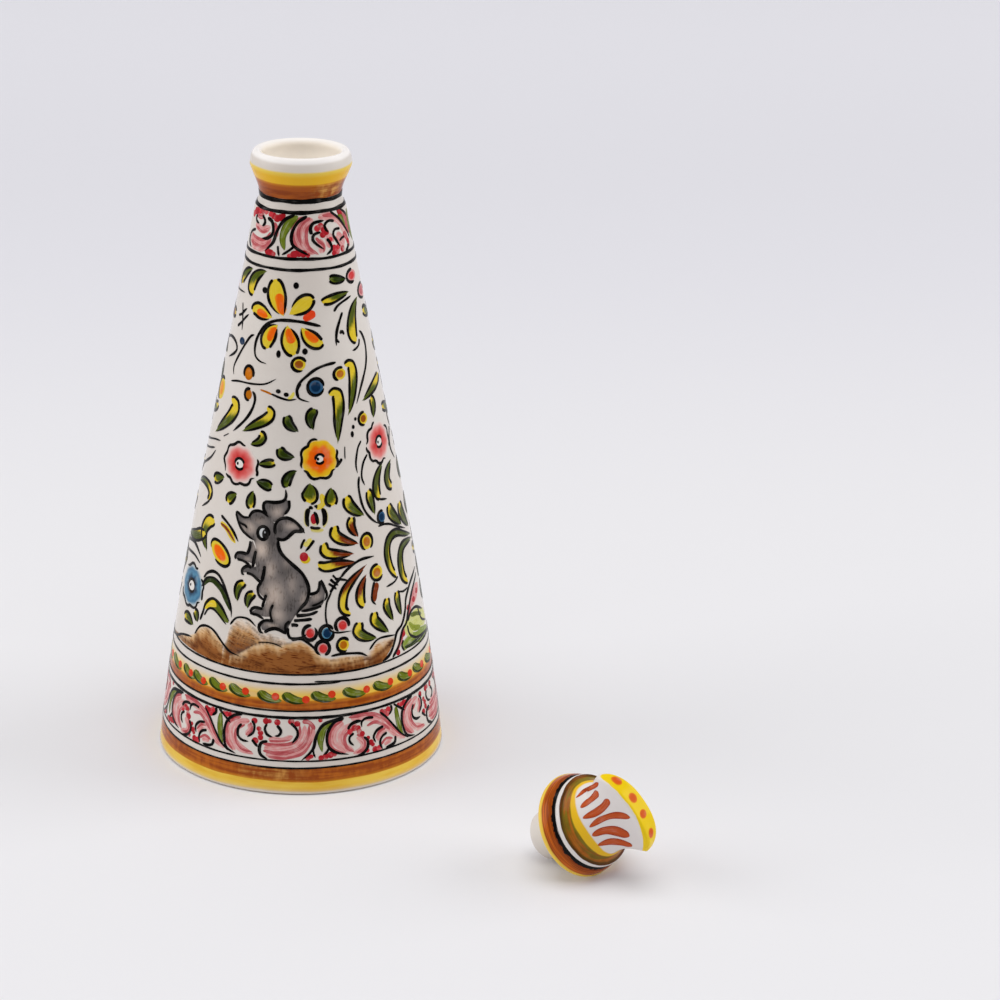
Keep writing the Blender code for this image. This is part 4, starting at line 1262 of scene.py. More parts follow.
# the same, but with the heart first and then its halo
BERRIES = (
    ((4.2, 50.6), 2.0, 2.15, LIGHT_RED, ROSE, (75, 405)),
    ((12.5, 50.3), 2.05, 2.2, BLUE, PALE_BLUE, (20, 375)),
    ((20.6, 52.2), 2.1, 2.1, LIGHT_RED, ROSE, (-20, 235)),
    ((10.3, 45.7), 2.05, 2.1, LIGHT_RED, ROSE, (-75, 245)),
)


# %% Flowers and touches of the field
# middle, half width and height, rings of colour, arcs of the edge, and for some the eye's size,
# the number of lobes and how soft the edge is
FLOWERS = (
    ((-43.2, 99.8), 6.9, 6.2, PINK_RINGS, ((75, 215), (222, 330), (338, 385))),
    ((63.5, 104.1), 6.5, 6.3, PINK_RINGS, ((100, 172), (178, 290), (330, 400))),
    ((12.4, 103.6), 5.7, 6.0, ORANGE_RINGS, ((95, 205), (212, 325), (-30, 22)), 0.19, 8, 0.08),
    ((-71.7, 56.4), 7.2, 6.5, BLUE_RINGS, ((70, 135), (205, 330), (-20, 40)), 0.25, 9, 0.2),
)
# half width, colour, layers over the first, and the points
FIELD_TOUCHES = (
    (0.95, YELLOW, 0, -53, 80.2, -46.7, 79, -39.4, 75.6), (0.45, BROWN, 1, -52.8, 80, -46.7, 78.9, -40, 76),
    (1.05, DARK_GREEN, 1, -61, 58.8, -57.5, 61.2, -52, 62, -46, 60.5, -41, 57.6, -38.2, 54.6),
    (1.35, GREEN, 1, -56, 53, -52.5, 55, -47.5, 54.6, -43, 52.8, -38.4, 50.9),
    (1.2, YELLOW, 2, -56.6, 52.4, -53.8, 54.5, -50, 55, -47.4, 54.4),
    (1.05, BROWN, 1, 43.6, 62.6, 41.6, 60, 40.4, 57),
    (0.55, paint(226, 212, 96), 1, -9.4, 121.6, -6.4, 122.8, -5.2, 124),
    (0.3, OCHRE, 1, -32, 123.6, -26, 123.2, -21, 122.6),
    (0.8, paint(228, 214, 110), 1, 1.8, 78.4, 3.6, 77.8, 5.6, 79.6),
    (0.9, YELLOW, 2, 9, 88.6, 13.5, 90, 12.5, 93),
)
BELL_SIDES = ((4, 88.8, 2.9, 86.4, 3.4, 83.2), (13.4, 88.6, 14.8, 86, 13.2, 82.6),
              (5.6, 82.4, 9, 82, 13.2, 81.9))
BELL_LINES = (
    (0.62, 4.6, 88.8, 3.6, 87, 3.5, 84.8, 4.4, 83.2), (0.42, 5.2, 83, 8.2, 82.6, 11.4, 82.6),
    (0.62, 12.6, 88.6, 14, 87, 14, 84.8, 12.8, 83.2), (0.52, 5.9, 88.4, 6, 89, 6.4, 89.4),
    (0.6, 8.6, 88.9, 9, 89.1, 9.9, 89), (0.46, 7.6, 87.6, 8.9, 86.6, 9.6, 84.6, 9.4, 83.6),
)
LEAF_LOOKS = (
    (GREEN_LEAVES, {}), (OLIVE_LEAVES, {"tail": paint(74, 84, 20), "turn": 0.18}),
    (DARK_LEAVES, {"head": GREEN, "tail": DARK_GREEN, "ink": 0.34}),
    (BROWN_LEAVES, {"tail": BROWN, "turn": 0.42}),
)


# %% Painting the field
def paint_bell():
    """The pale open bell under the branch: a red seed, straw-coloured sides and black lines."""
    fills.disc((2.4, 73.2), 1.5, 1.3, YELLOW, cells=7, watery=0.3)
    fills.disc((1.6, 74.0), 1.30, 1.40, RED, cells=7, watery=0.1, over=1)
    for points in BELL_SIDES:
        fills.stroke(points, 0.75, paint(214, 200, 104), watery=0.4, lanes=5, soft=0.6, start=0.2)
    fills.disc((8.4, 84.9), 1.5, 1.5, paint(226, 210, 160), cells=7, watery=0.35)
    fills.disc((7.5, 85.5), 1.0, 1.6, RED, cells=7, watery=0.1, over=1)
    for half, *points in BELL_LINES:
        inks.stroke(points, half, start=0.2)


def paint_field():
    """All leaves, buds, flowers and lines of the field."""
    blossom()
    for rows, look in LEAF_LOOKS:
        for half, *points in rows:
            leaf(points, half, **look)
    for half, *points in FIELD_LINES:
        inks.stroke(points, half)
    for azimuth, height, across, up in FIELD_DOTS:
        inks.disc((azimuth, height), across, up, BLACK, cells=5, watery=0.02)
    for kind, rows in ((bud, BUDS), (berry, BERRIES), (flower, FLOWERS)):
        for row in rows:
            kind(*row)
    bud((-50.4, 71.0), 5.0, 2.75, YELLOW, paint(244, 104, 8), (-95, 215), -27)
    inks.disc((-57.9, 136.3), 1.3, 1.15, BLUE, cells=5, watery=0.1)
    for half, pigment, over, *points in FIELD_TOUCHES:
        fills.stroke(points, half, pigment, watery=0.15, lanes=5, start=0.2, over=over)
    paint_bell()


for shift in (0.0, 180.0):
    fills.shift = inks.shift = shift
    paint_field()
print("field:", len(fills.faces), "fills,", len(inks.faces), "lines, front and back")

# %% [markdown]
# The ground, the tree and the hare
#
# Earth is a wash: each hump is pale under its top line and browner below, and darker drags of
# the brush run through it. The hare is a wash too. Each part of it, the body, the head, an
# ear, an arm, is one patch between the two lines that bound it. Its grey is lighter on the
# belly and darker beside every outline.

# %% Crests and drags of the earth
LEFT_HUMP = (-88, 38.1, -74, 39.7, -67, 41.2, -61.4, 43.1, -57.8, 46, -52.2, 47.2, -46.7, 46.6, -40, 43.8,
             -35.6, 42.2, -30.4, 41.5)
BACK_HUMP = (-40, 43.4, -38.6, 46.5, -37.2, 50.4, -34.4, 52.6, -31.1, 53.4, -26.7, 53.2, -22.8, 51.6, -17,
             50.2, -10, 49.6, -4.4, 47.8)
FRONT_HUMP = (-36, 41, -31, 42.2, -27, 44, -23, 45.9, -18, 46.9, -13, 47, -9, 46.6, -4.4, 48, 0, 48.3, 4.4,
              46.6, 7.2, 44.7, 9.4, 43.2, 14.2, 42.3, 20, 42.6, 26.7, 42.2, 33, 41.4)
RIGHT_HUMP = (31, 41.4, 34.4, 42.6, 38.3, 44.6, 42.8, 45, 48.9, 44.4, 52.2, 44)


def near(azimuth, height, points, reach):
    """How near each place is to a curve: exp(-(d / reach) squared), with d the least distance."""
    path = curve(points, 1.0)[0]
    across = (azimuth[..., None] - path[:, 0]) * degree_length(height)[..., None]
    return np.exp(-np.min(across**2 + (height[..., None] - path[:, 1]) ** 2, -1) / reach**2)


GROUND_LINE = 37.85
TRUNK_SIDE = (41.1, 37.85, 46, 40.2, 52.2, 43.6)
# top line, colour at the top, how deep the pale part reaches, how softly it starts
HUMPS = (
    (LEFT_HUMP, paint(226, 200, 166), 2.2, 0.5), (BACK_HUMP, paint(238, 228, 216), 4.0, 1.3),
    (FRONT_HUMP, paint(226, 196, 158), 1.7, 0.8), (RIGHT_HUMP, paint(224, 206, 186), 2.6, 1.3),
)
# how wide, how strong, and the points of each drag and hatch
DRY_DRAGS = (
    (0.8, 0.7, -60, 41.8, -52, 40.4, -44, 39.2), (0.9, 0.8, -84, 38.7, -70, 38.9, -58, 39.6),
    (0.6, 0.8, -42, 40.4, -34, 40.2, -24, 40.6, -18, 40.2), (0.6, 0.7, -34, 38.8, -18, 38.9, -6, 38.5),
    (0.6, 0.7, 0, 39.6, 8, 40.2, 20, 39.9, 34, 40.4), (0.7, 0.9, 10, 38.6, 24, 38.4, 40, 38.6),
    (0.9, 0.9, 34, 39.6, 42, 41.2, 49, 43), (0.5, 0.6, -60.5, 43.6, -57, 42, -54, 40.4),
    (0.6, 0.5, -52, 46.2, -44, 43.4, -34, 41.2), (0.4, 0.4, -26, 43.6, -18, 44.6, -8, 44),
    (0.5, 0.4, -6, 45.6, 2, 44.4, 8, 42.4), (0.4, 0.5, 14, 41.6, 24, 41.4, 32, 41.2),
)
HATCHES = (
    (0.4, 0.6, -36.4, 49.6, -30, 48.2, -23, 47), (0.36, 0.7, -37.4, 47.6, -30, 46.6, -24, 46),
    (0.36, 0.8, -37.6, 45.4, -31, 45.2, -26, 44.8), (0.4, 0.6, -33.6, 51.2, -27, 49.6, -21, 47.8),
    (0.45, 0.9, -31, 42.6, -27, 44.2, -23, 46, -17, 47, -10, 46.8),
    (0.5, 0.7, -38.4, 44.4, -33, 43.8, -29, 43.6), (0.3, 0.6, -35, 48.6, -29, 47.4, -22, 46.4),
    (0.35, 0.5, -21, 52, -17, 49.8, -11, 48.8), (0.5, 0.6, -38.4, 42.4, -34, 41.4, -27, 41.6),
    (0.45, 0.5, -24, 51, -19, 48.6, -14, 47.6), (0.45, 0.6, -15, 48.6, -9, 47.2, -5, 47.6),
    (0.6, 0.7, -40, 43.6, -36, 42.6, -31, 42.6), (0.35, 0.5, -28, 52.4, -22, 50, -18, 48.8),
)


# %% Colour of the earth
def crest_height(points, azimuth):
    """Height of a hump's top line at each azimuth, far below ground where the hump isn't."""
    return np.interp(azimuth, points[::2], points[1::2], left=0.0, right=0.0)


def earth_colour(azimuth, height):
    """Pale at each crest, tan and brown below it; the humps are painted one over the other."""
    shade = np.broadcast_to(np.array(TAN[:3]), (*azimuth.shape, 3))
    drift = 0.4 * np.sin(azimuth * 0.7) + 0.3 * np.sin(azimuth * 1.9 + height)
    for crest, pale, reach, soft in HUMPS:
        depth = crest_height(crest, azimuth) - height
        own = blend(pale, TAN, (depth + drift) / reach)
        own = blend(own, EARTH, (depth + drift - 0.8 * reach) / (1.2 * reach))
        shade = shade + (own - shade) * np.clip(depth / 0.5 + 0.5, 0.0, 1.0)[..., None]
    for rows, pigment in ((DRY_DRAGS, DARK_EARTH), (HATCHES, paint(92, 70, 60))):
        for wide, strength, *points in rows:
            shade = blend(shade, pigment, strength * near(azimuth, height, points, wide))
    return shade


def earth_load(azimuth, height):
    """How much paint: it thins out towards the highest crest at each azimuth."""
    fullness = [0.25 + (crest_height(crest, azimuth) - height) / soft for crest, pale, reach, soft in HUMPS]
    return np.clip(np.max(fullness, 0), 0.0, 1.0)


HUMP_LINES = (
    (0.32, -61.6, 43, -57.8, 46.2, -52.2, 47.4, -46.7, 46.8, -40, 43.9, -35.6, 42.2, -30.4, 41.6),
    (0.34, -92, 36.6, -80, 38, -74.4, 39.7, -68.9, 40.8, -63.6, 41.5),
    (0.28, -37.2, 50.5, -34.4, 52.8, -31.1, 53.6, -26.7, 53.4, -22.6, 51.6),
    (0.32, -4.6, 48.3, 0, 48.7, 4.4, 47, 7.2, 45.1, 9.2, 43.5),
    (0.34, 14.2, 43, 19.4, 43.3, 26.7, 42.8, 30, 42.2, 33, 41),
    (0.28, 34.2, 42.8, 38.3, 44.9, 42.8, 45.4, 52, 44.5), (0.16, -21, 46.9, -16.5, 47.2, -12.5, 46.9, -9, 46),
)


TREE_LINES = (
    (0.42, 41.1, 38, 46.1, 39.3, 50, 42, 53.3, 45.1, 58.3, 46.6, 62.8, 50.1, 65, 53.2, 68.9, 55.5, 73.3, 57.4,
     82, 60),
    (0.4, 47.8, 38, 53.3, 40.8, 57.8, 44.7, 62.2, 46.2, 65.6, 49.3, 72.2, 53.9, 82, 58),
    (0.34, 62.6, 45.2, 63.3, 42.4, 66.7, 40.5, 72.2, 39.3, 86, 38.2),
    (0.32, 57.4, 41.6, 55.6, 40.2, 57, 38.2), (0.36, 63.6, 46.4, 68, 48.4, 74, 48.6, 82, 46),
    (0.32, 76, 47.8, 78.5, 43.6, 86, 41.2),
)
TREE_WASHES = (
    (0.8, PINK, 49.5, 38.6, 54, 41, 58.5, 44.2, 64, 46.6, 69, 50.4, 76, 54),
    (1.9, ROSE, 68, 50.4, 74, 52.4, 82, 54.6),
    (3, paint(206, 208, 124), 60, 43.2, 68, 45, 77, 44.2, 86, 42.6),
    (1.9, paint(132, 150, 54), 55.5, 39.4, 63, 40.2, 72, 39.4, 86, 39),
    (0.9, paint(140, 152, 40), 64.5, 45.6, 68.5, 43, 76, 41.6), (0.7, GREEN, 67, 47.4, 73, 46.6, 80, 44.8),
    (0.7, DARK_GREEN, 57.6, 39.2, 62, 38.8, 68, 38.7, 80, 38.6),
)
TREE_DOTS = (
    (66.2, 50.2), (73, 51.3), (61, 45.2), (58.3, 43.4), (52.2, 38.7), (78, 53),
)


# %% Painting the earth and the tree
EARTH_COLUMNS, EARTH_ROWS = 260, 30


def earth():
    """All humps as one patch under their common skyline, and the black lines over them."""
    azimuth = np.linspace(LEFT_HUMP[0], RIGHT_HUMP[-2], EARTH_COLUMNS)[:, None]
    sky = np.max([crest_height(crest, azimuth) for crest, *_ in HUMPS], 0)
    base = np.maximum(GROUND_LINE, np.interp(azimuth, TRUNK_SIDE[::2], TRUNK_SIDE[1::2]))
    up = np.linspace(0.0, 1.0, EARTH_ROWS)[None, :]
    height = base + (np.maximum(sky, base + 0.1) - base) * up
    azimuth = np.broadcast_to(azimuth, height.shape)
    grounds.lay(azimuth, height, earth_colour(azimuth, height), earth_load(azimuth, height),
                azimuth * 1.1, height * 1.15 + azimuth * 0.12, -0.85)
    for half, *points in HUMP_LINES:
        inks.stroke(points, half, start=0.1)


def tree():
    """The trunk at the edge of the field: two black lines, pink bark and green ground."""
    for half, *points in TREE_LINES:
        inks.stroke(points, half, start=0.06, stop=0.2)
    for half, pigment, *points in TREE_WASHES:
        grounds.stroke(points, half, pigment, watery=0.35, lanes=5, start=0.2)
    for centre in TREE_DOTS:
        grounds.disc(centre, 1.1, 0.9, RED, cells=5, watery=0.2)


grounds = Pot("paint_ground", 0.02, on_field)
for shift in (0.0, 180.0):
    grounds.shift = inks.shift = shift
    earth()
    tree()
print("ground:", len(grounds.faces), "patches, front and back")

# %% The hare
# a part lies between two lines: the points of one, then the points of the other
HARE_PARTS = (
    ((-24.8, 56.3, -22, 57.3, -19.4, 57.6, -17.6, 60.4), (-25.6, 55.8, -22.2, 55.6, -18.4, 55, -13.5, 55.5)),
    ((2.4, 61, 7.6, 62.7, 9.4, 64.2, 10.1, 66), (-1.4, 57.4, 5.5, 57.9, 11, 59.2, 12.6, 63.2)),
    ((-38.6, 71.9, -37.2, 72.8, -33.9, 73.2, -30.2, 73.4, -29.4, 75.4, -28.2, 77.6),
     (-37.9, 71.2, -36.4, 70.9, -32.8, 71.1, -28, 70.8, -25.6, 70.6, -24.2, 74)),
    ((-33, 68.3, -30, 69.6, -26, 69.7, -21.4, 71.4), (-32.2, 67.4, -30, 67.6, -26.7, 67.3, -20.6, 66)),
    ((-21.4, 65.4, -22.5, 63.8, -21.6, 62, -18.5, 60.6), (-17, 66, -16, 64, -14, 62, -12, 60.4)),
    ((-27.6, 78.2, -25.6, 75.6, -25.3, 73, -24.8, 70, -20, 69.4, -20.4, 66.2, -19.6, 63.4, -18.4, 60.4, -16.2,
      57.4, -14.6, 54.2, -13.6, 51.6),
     (-12.9, 79.4, -12.4, 77, -11.1, 75, -7.8, 73.1, -3.3, 70.9, 0.2, 69, 3.6, 65, 3.9, 62.8, 2.4, 60.2, -2.8,
      56.1, -7.2, 51.2)),
    ((-20.2, 52.3, -18.3, 53.7, -14.4, 54, -8, 53.8), (-19.4, 50.9, -17.2, 50.9, -12, 52, -7.6, 50.9)),
    ((-21.6, 87.4, -22.6, 89.2, -20, 90, -14.4, 90.2, -10.4, 90.8, -9.2, 92.2),
     (-18.4, 84.8, -14.4, 84.2, -11.6, 85.4, -9.2, 87, -7.6, 89, -7.8, 90.8)),
    ((-14.2, 81.4, -14.4, 83.7, -12.2, 85.1, -7.8, 85.6, -3.3, 84.5, 1.2, 81.8),
     (-13.6, 79.4, -10.4, 79.3, -8, 79.8, -6.2, 80.8, -3.4, 81.8, 0.6, 81.9)),
    ((-41, 84.8, -38.6, 84.8, -35.4, 84.1, -31.9, 84.5, -29.8, 86.1, -26.7, 86.8, -22.8, 86.6, -19.5, 85.8,
      -16, 84.2, -13.4, 82),
     (-40.8, 84.6, -38.3, 82.5, -35.6, 80.5, -31.6, 79.1, -28.4, 78, -24, 77.2, -19, 77, -16.4, 77.4, -14,
      78.4, -12.8, 79.6)),
)
# azimuth, height, spread across and up, strength
LIGHT_FUR = (
    (-14.5, 61.5, 5.5, 4.6, 0.8), (-22.5, 75.4, 4.5, 2.6, 0.9), (-31.5, 81.4, 4.5, 1.8, 0.7),
    (-12, 56, 4, 2.4, 0.6), (-17, 69.5, 3.6, 3, 0.6), (-5, 83.4, 4.5, 1.2, 0.55), (1.6, 60.2, 2, 2.4, 0.5),
    (-14, 87.4, 3.6, 1.8, 0.55), (7.6, 62, 2.6, 1.6, 0.5), (-5, 65.5, 2.6, 3.4, 0.35), (-25, 84, 4, 1.2, 0.4),
    (-14.5, 52.6, 3.4, 0.7, 0.6), (-30.5, 71.8, 2.4, 0.7, 0.4), (-8, 72, 2, 2.4, 0.3),
)
DARK_FUR = (
    (-16.8, 78.5, 2.4, 4, 0.55), (-26, 85, 5, 1.6, 0.5), (-8, 69.5, 4.5, 2.5, 0.4), (-5.5, 59, 3, 3.5, 0.35),
    (-18, 89.4, 6, 1.3, 0.3), (-22.5, 58.6, 3.5, 2.5, 0.5), (-12.4, 82.4, 2.2, 2.4, 0.6),
    (-10, 51.6, 6, 1.2, 0.6), (-34, 72, 4, 1.4, 0.3), (-29, 68.3, 4, 1.4, 0.3), (-37.5, 84.2, 3, 1.2, 0.3),
)
HARE_LINES = (
    (0.44, -20.4, 86.2, -22.4, 87.6, -22.9, 89.2, -21.6, 90.1, -18, 90.2, -14.4, 90.3, -10.4, 91, -9, 92.4,
     -9.4, 94.4),
    (0.4, -7.2, 91.2, -7, 88.9, -9.6, 86.8),
    (0.38, -31.9, 84.5, -30, 86.2, -26.7, 87, -22.8, 86.8, -19.2, 85.6),
    (0.34, -41.3, 84.6, -40.4, 85.2, -38.9, 84.9, -35.6, 84.2, -31.5, 84.5),
    (0.36, -41.3, 84.8, -38.8, 82.2, -35.6, 80.2, -31.6, 78.9, -27.6, 77.9),
    (0.3, -38.7, 82.5, -36.7, 82.1, -33.9, 81.8, -32.2, 81.1),
    (0.42, -14.6, 80.6, -15.2, 82.6, -14.2, 84.2, -12.2, 85.3, -7.8, 85.8, -3.3, 84.7, 0.2, 82.8, 2.2, 81.2),
    (0.46, -13.8, 79.3, -10.4, 79, -8, 79.6, -5.5, 80.9, -3.2, 81.8, 1.6, 81.5),
    (0.46, -12.9, 79, -12.6, 77, -11.1, 75.1, -7.8, 73.2, -3.3, 71, 0.2, 69.2, 2.4, 67.2, 3.8, 65, 4, 62.8,
     2.6, 60.2, 0, 58.4, -2.6, 56),
    (0.4, 4, 62.4, 8, 63, 9.4, 64.3, 10.2, 66.6, 12.2, 64.3, 13.4, 62, 12, 60.2),
    (0.3, 11.6, 60.4, 8.4, 59.4, 5.4, 58.9), (0.4, 10.4, 58.8, 5.5, 57.9, 0, 57.3),
    (0.44, -2.4, 55.9, 4.4, 56.3, 8.6, 57.2), (0.44, -3.6, 54.4, 2.8, 54.7, 5.6, 54.9),
    (0.44, -29.4, 77.4, -29.6, 75.4, -30.6, 73.6, -31.4, 73.2),
    (0.42, -31, 73.2, -33.9, 73.3, -37.2, 72.9, -38.5, 71.6, -37.9, 70.8),
    (0.36, -36.9, 71, -32.8, 70.9, -28.6, 70.1), (0.44, -25.6, 74.8, -26.4, 72, -26.8, 69.4),
    (0.44, -27.4, 69.4, -30, 69.7, -33, 68.4, -32.8, 67, -31.6, 66.8),
    (0.4, -30.2, 67.5, -26.7, 67.2, -23.3, 66, -21, 65.2), (0.46, -19.9, 70.6, -20.2, 68.2, -21.3, 65.2),
    (0.4, -21.3, 65.4, -23, 63.6, -22.2, 61.4, -19.3, 60), (0.44, -18.2, 61.8, -19.4, 59.3, -19.9, 57.6),
    (0.42, -19.6, 57.3, -23.9, 57.4, -26, 56.4, -25.6, 55.4, -22.2, 55.2, -18.8, 54.2),
    (0.34, -14.4, 59, -15.6, 56.6, -14.5, 53.6),
    (0.44, -13.8, 54, -18.3, 53.8, -21, 52.2, -20.4, 50.4, -18.6, 49.8),
    (0.46, -18.2, 50.2, -15, 51.4, -11.7, 51.6, -7, 50.2), (0.4, -5.6, 54.2, -7.6, 52.8, -7.4, 50.4),
    (0.5, -4.9, 53, -3.4, 53.1, -1.3, 52.9), (0.36, -6.4, 52.2, -6.2, 50, -4.6, 48.9, 0.6, 49.3, 2.6, 50.2),
)


# %% Painting the hare
FUR_ROWS, FUR_LANES = 54, 22


def soft_places(azimuth, height, rows):
    """The strongest of several bells, exp(-x x - y y), each with its middle, its spread and its strength."""
    return np.max([strength * np.exp(-((azimuth - middle) / across)**2 - ((height - level) / up)**2)
                   for middle, level, across, up, strength in rows], 0)


def fur_colour(azimuth, height):
    """Grey with soft lighter and darker places, and darker still beside each outline."""
    dark = soft_places(azimuth, height, DARK_FUR)
    for half, *points in HARE_LINES:
        dark = np.maximum(dark, 0.60 * near(azimuth, height, points, 0.80))
    light = soft_places(azimuth, height, LIGHT_FUR)
    return blend(blend(FUR, paint(212, 194, 180), light), paint(36, 33, 33), dark)


def fur_patch(edges):
    """A patch between two lines: both are cut into the same steps and joined straight across."""
    even = np.linspace(0.0, 1.0, FUR_ROWS)
    first, second = (cut(path, even, share) for path, share, *_ in (curve(edge, 0.6) for edge in edges))
    across = np.linspace(0.0, 1.0, FUR_LANES)[None, :, None]
    grid = first[:, None] * (1.0 - across) + second[:, None] * across
    azimuth, height = grid[..., 0], grid[..., 1]
    colour, across = fur_colour(azimuth, height), (azimuth + fur.shift) * 0.42
    fur.lay(azimuth, height, colour, 1.0, height * 3.2, across, -0.42)


def hare():
    """A hare standing on its hind legs: grey washes, an eye and an outline."""
    for edges in HARE_PARTS:
        fur_patch(edges)
    fur.disc((-22.0, 80.6), 1.7, 1.75, paint(206, 208, 208), cells=8, watery=0.0, over=2)
    oval_line((-21.9, 80.5), 1.85, 2.0, -20, 345, 0.46)
    inks.disc((-20.6, 80.3), 1.05, 1.6, BLACK, cells=6, watery=0.05)
    inks.disc((-20.9, 80.8), 0.28, 0.32, paint(150, 152, 154), cells=4, watery=0.0, over=1)
    for half, *points in HARE_LINES:
        inks.stroke(points, half, start=0.06, stop=0.2)


fur = Pot("paint_hare", 0.05, on_field)
for shift in (0.0, 180.0):
    fur.shift = inks.shift = shift
    hare()
for pot in (grounds, fills, fur, inks):
    pot.pour()

# %% [markdown]
# The stopper
#
# A peg, a wide cap that sits on the lip, a raised collar and a pinched, fan-shaped knob. It is
# worked out upright about its own axis, ring by ring, and then laid down as in the packed
# model: on the edge of its peg and the edge of its cap. Each point keeps its height on the
# axis in an attribute, because the bands are painted by that height.

# %% Stopper sizes, in millimetres
PEG_RADIUS = BORE_RADIUS - 1.0
PEG_LENGTH = 14.1
EDGE = 1.0
CAP_RADIUS = LIP_RADIUS + 0.15
FLANK_RADIUS, FLANK_HEIGHT = 13.8, 4.9
COLLAR_TOP_RADIUS, COLLAR_TOP = 13.0, 7.1
KNOB_FOOT_RADIUS, KNOB_FOOT = 11.2, 9.2
PINCH = 10.4
TOP_WIDTH, TOP_DEPTH = 13.8, 3.4
TOP_HEIGHT, TOP_DROP, TOP_RISE, TOP_CORNER = 26.2, 5.0, 0.6, 1.7
ROUNDING = 0.9
KNOB_SHIFT = -0.8
PINCH_SHARE = 0.3
LYING_PLACE = (82.0, -94.6)
LYING_AZIMUTH, LYING_ROLL = -44.4, 108.0


# %% Lines of the knob
def superellipse(across, deep, power, turn):
    """x = across |cos t|^(2/power), y = deep |sin t|^(2/power), each with its cosine's or sine's sign."""
    x = across * np.sign(np.cos(turn)) * np.abs(np.cos(turn)) ** (2.0 / power)
    y = deep * np.sign(np.sin(turn)) * np.abs(np.sin(turn)) ** (2.0 / power)
    return x, y


def knob_width(share):
    """Half width up the knob: in to the pinch as a parabola, then out as a cubic."""
    low = np.clip(share / PINCH_SHARE, 0.0, 1.0)
    up = np.clip((share - PINCH_SHARE) / (1.0 - PINCH_SHARE), 0.0, 1.0)
    waist = KNOB_FOOT_RADIUS + (PINCH - KNOB_FOOT_RADIUS) * low * (2.0 - low)
    return waist + (TOP_WIDTH - PINCH) * up * (2.0 + 3.0 * up - 2.0 * up**2) / 3.0


def knob_depth(share):
    """Half thickness up the knob: it closes as a power of what is left to the top."""
    return TOP_DEPTH + (KNOB_FOOT_RADIUS - TOP_DEPTH) * (1.0 - share) ** 2.3


def knob_middle(share):
    """How far the knob's middle stands to one side: evenly more up to the pinch, then no more."""
    return KNOB_SHIFT * np.minimum(1.0, share / PINCH_SHARE)


def arch(x):
    """Height of the knob's top across its width: rounder at its ends, one end a little higher."""
    across = x / TOP_WIDTH
    drop = TOP_DROP * np.abs(across) ** 2.4 + TOP_CORNER * np.abs(across) ** 9
    return TOP_HEIGHT - drop + TOP_RISE * across


# %% Rings of the stopper
def lower_rings(turn):
    """Peg, cap and collar: circles of the section's radius at its heights."""
    peg = arc((PEG_RADIUS - EDGE, EDGE - PEG_LENGTH), EDGE, EDGE, -90, 0, 7)
    edge = arc((CAP_RADIUS - EDGE, 0.0), EDGE, EDGE, -90, 45, 12)
    slope = np.linspace(edge[-1], (FLANK_RADIUS, FLANK_HEIGHT), 10)
    slope[:, 0] += 0.4 * np.sin(np.linspace(0.0, np.pi, 10))
    collar = arc(((FLANK_RADIUS + COLLAR_TOP_RADIUS) / 2, (FLANK_HEIGHT + COLLAR_TOP) / 2), 0.62, 1.1,
                 -78, 78, 9)
    dome = hermite((COLLAR_TOP_RADIUS, COLLAR_TOP), (-1.0, 1.0), (KNOB_FOOT_RADIUS, KNOB_FOOT), (-0.6, 1.0), 5)
    shank = np.linspace((PEG_RADIUS + 0.02, -12.0), (PEG_RADIUS + 0.3, -EDGE), 8)
    return spun(np.concatenate([peg, shank, edge, slope[1:], collar, dome]), turn)


def knob_rings(turn):
    """Rings from the knob's round foot to its arched top, then rounded over and closed."""
    share = np.linspace(0.0, 1.0, 41)[1:, None]
    width, depth = knob_width(share), knob_depth(share)
    x, y = superellipse(width, depth, 2.0 + 0.5 * share, turn[None])
    edge = arch(x * TOP_WIDTH / width) - ROUNDING
    rings = [np.stack([x + knob_middle(share), y, KNOB_FOOT + share * (edge - KNOB_FOOT)], -1)]
    for angle in np.radians([18, 36, 54, 72, 90]):
        inset = ROUNDING * (1.0 - np.cos(angle))
        x, y = superellipse(TOP_WIDTH - inset, TOP_DEPTH - inset, 2.5, turn)
        rings.append(np.stack([x + KNOB_SHIFT, y, arch(x) - ROUNDING * (1.0 - np.sin(angle))], -1)[None])
    for size in (0.85, 0.65, 0.45, 0.25, 0.1):
        x, y = superellipse((TOP_WIDTH - ROUNDING) * size, (TOP_DEPTH - ROUNDING) * size, 2.5, turn)
        rings.append(np.stack([x + KNOB_SHIFT, y, arch(x)], -1)[None])
    return np.concatenate(rings)


# %% The stopper laid down
def lying():
    """The turn and the move that lay the stopper on the tangent under its cap's and peg's edges."""
    rise = CAP_RADIUS - PEG_RADIUS
    tilt = np.arctan2(rise, PEG_LENGTH - EDGE)
    height = EDGE + (CAP_RADIUS - EDGE) * np.cos(tilt)
    azimuth, roll = LYING_AZIMUTH * DEGREE, LYING_ROLL * DEGREE
    axis = np.array([np.cos(azimuth) * np.cos(tilt), np.sin(azimuth) * np.cos(tilt), np.sin(tilt)])
    side = np.array([-np.sin(azimuth), np.cos(azimuth), 0.0])
    width = side * np.cos(roll) + np.cross(axis, side) * np.sin(roll)
    return np.stack([width, np.cross(axis, width), axis]), np.array([*LYING_PLACE, height])


TURN, MOVE = lying()
print("stopper lies at", MOVE.round(2), "mm")


def lay_down(points):
    """From the stopper's own upright millimetres to metres on the table."""
    return (points @ TURN + MOVE) * 0.001


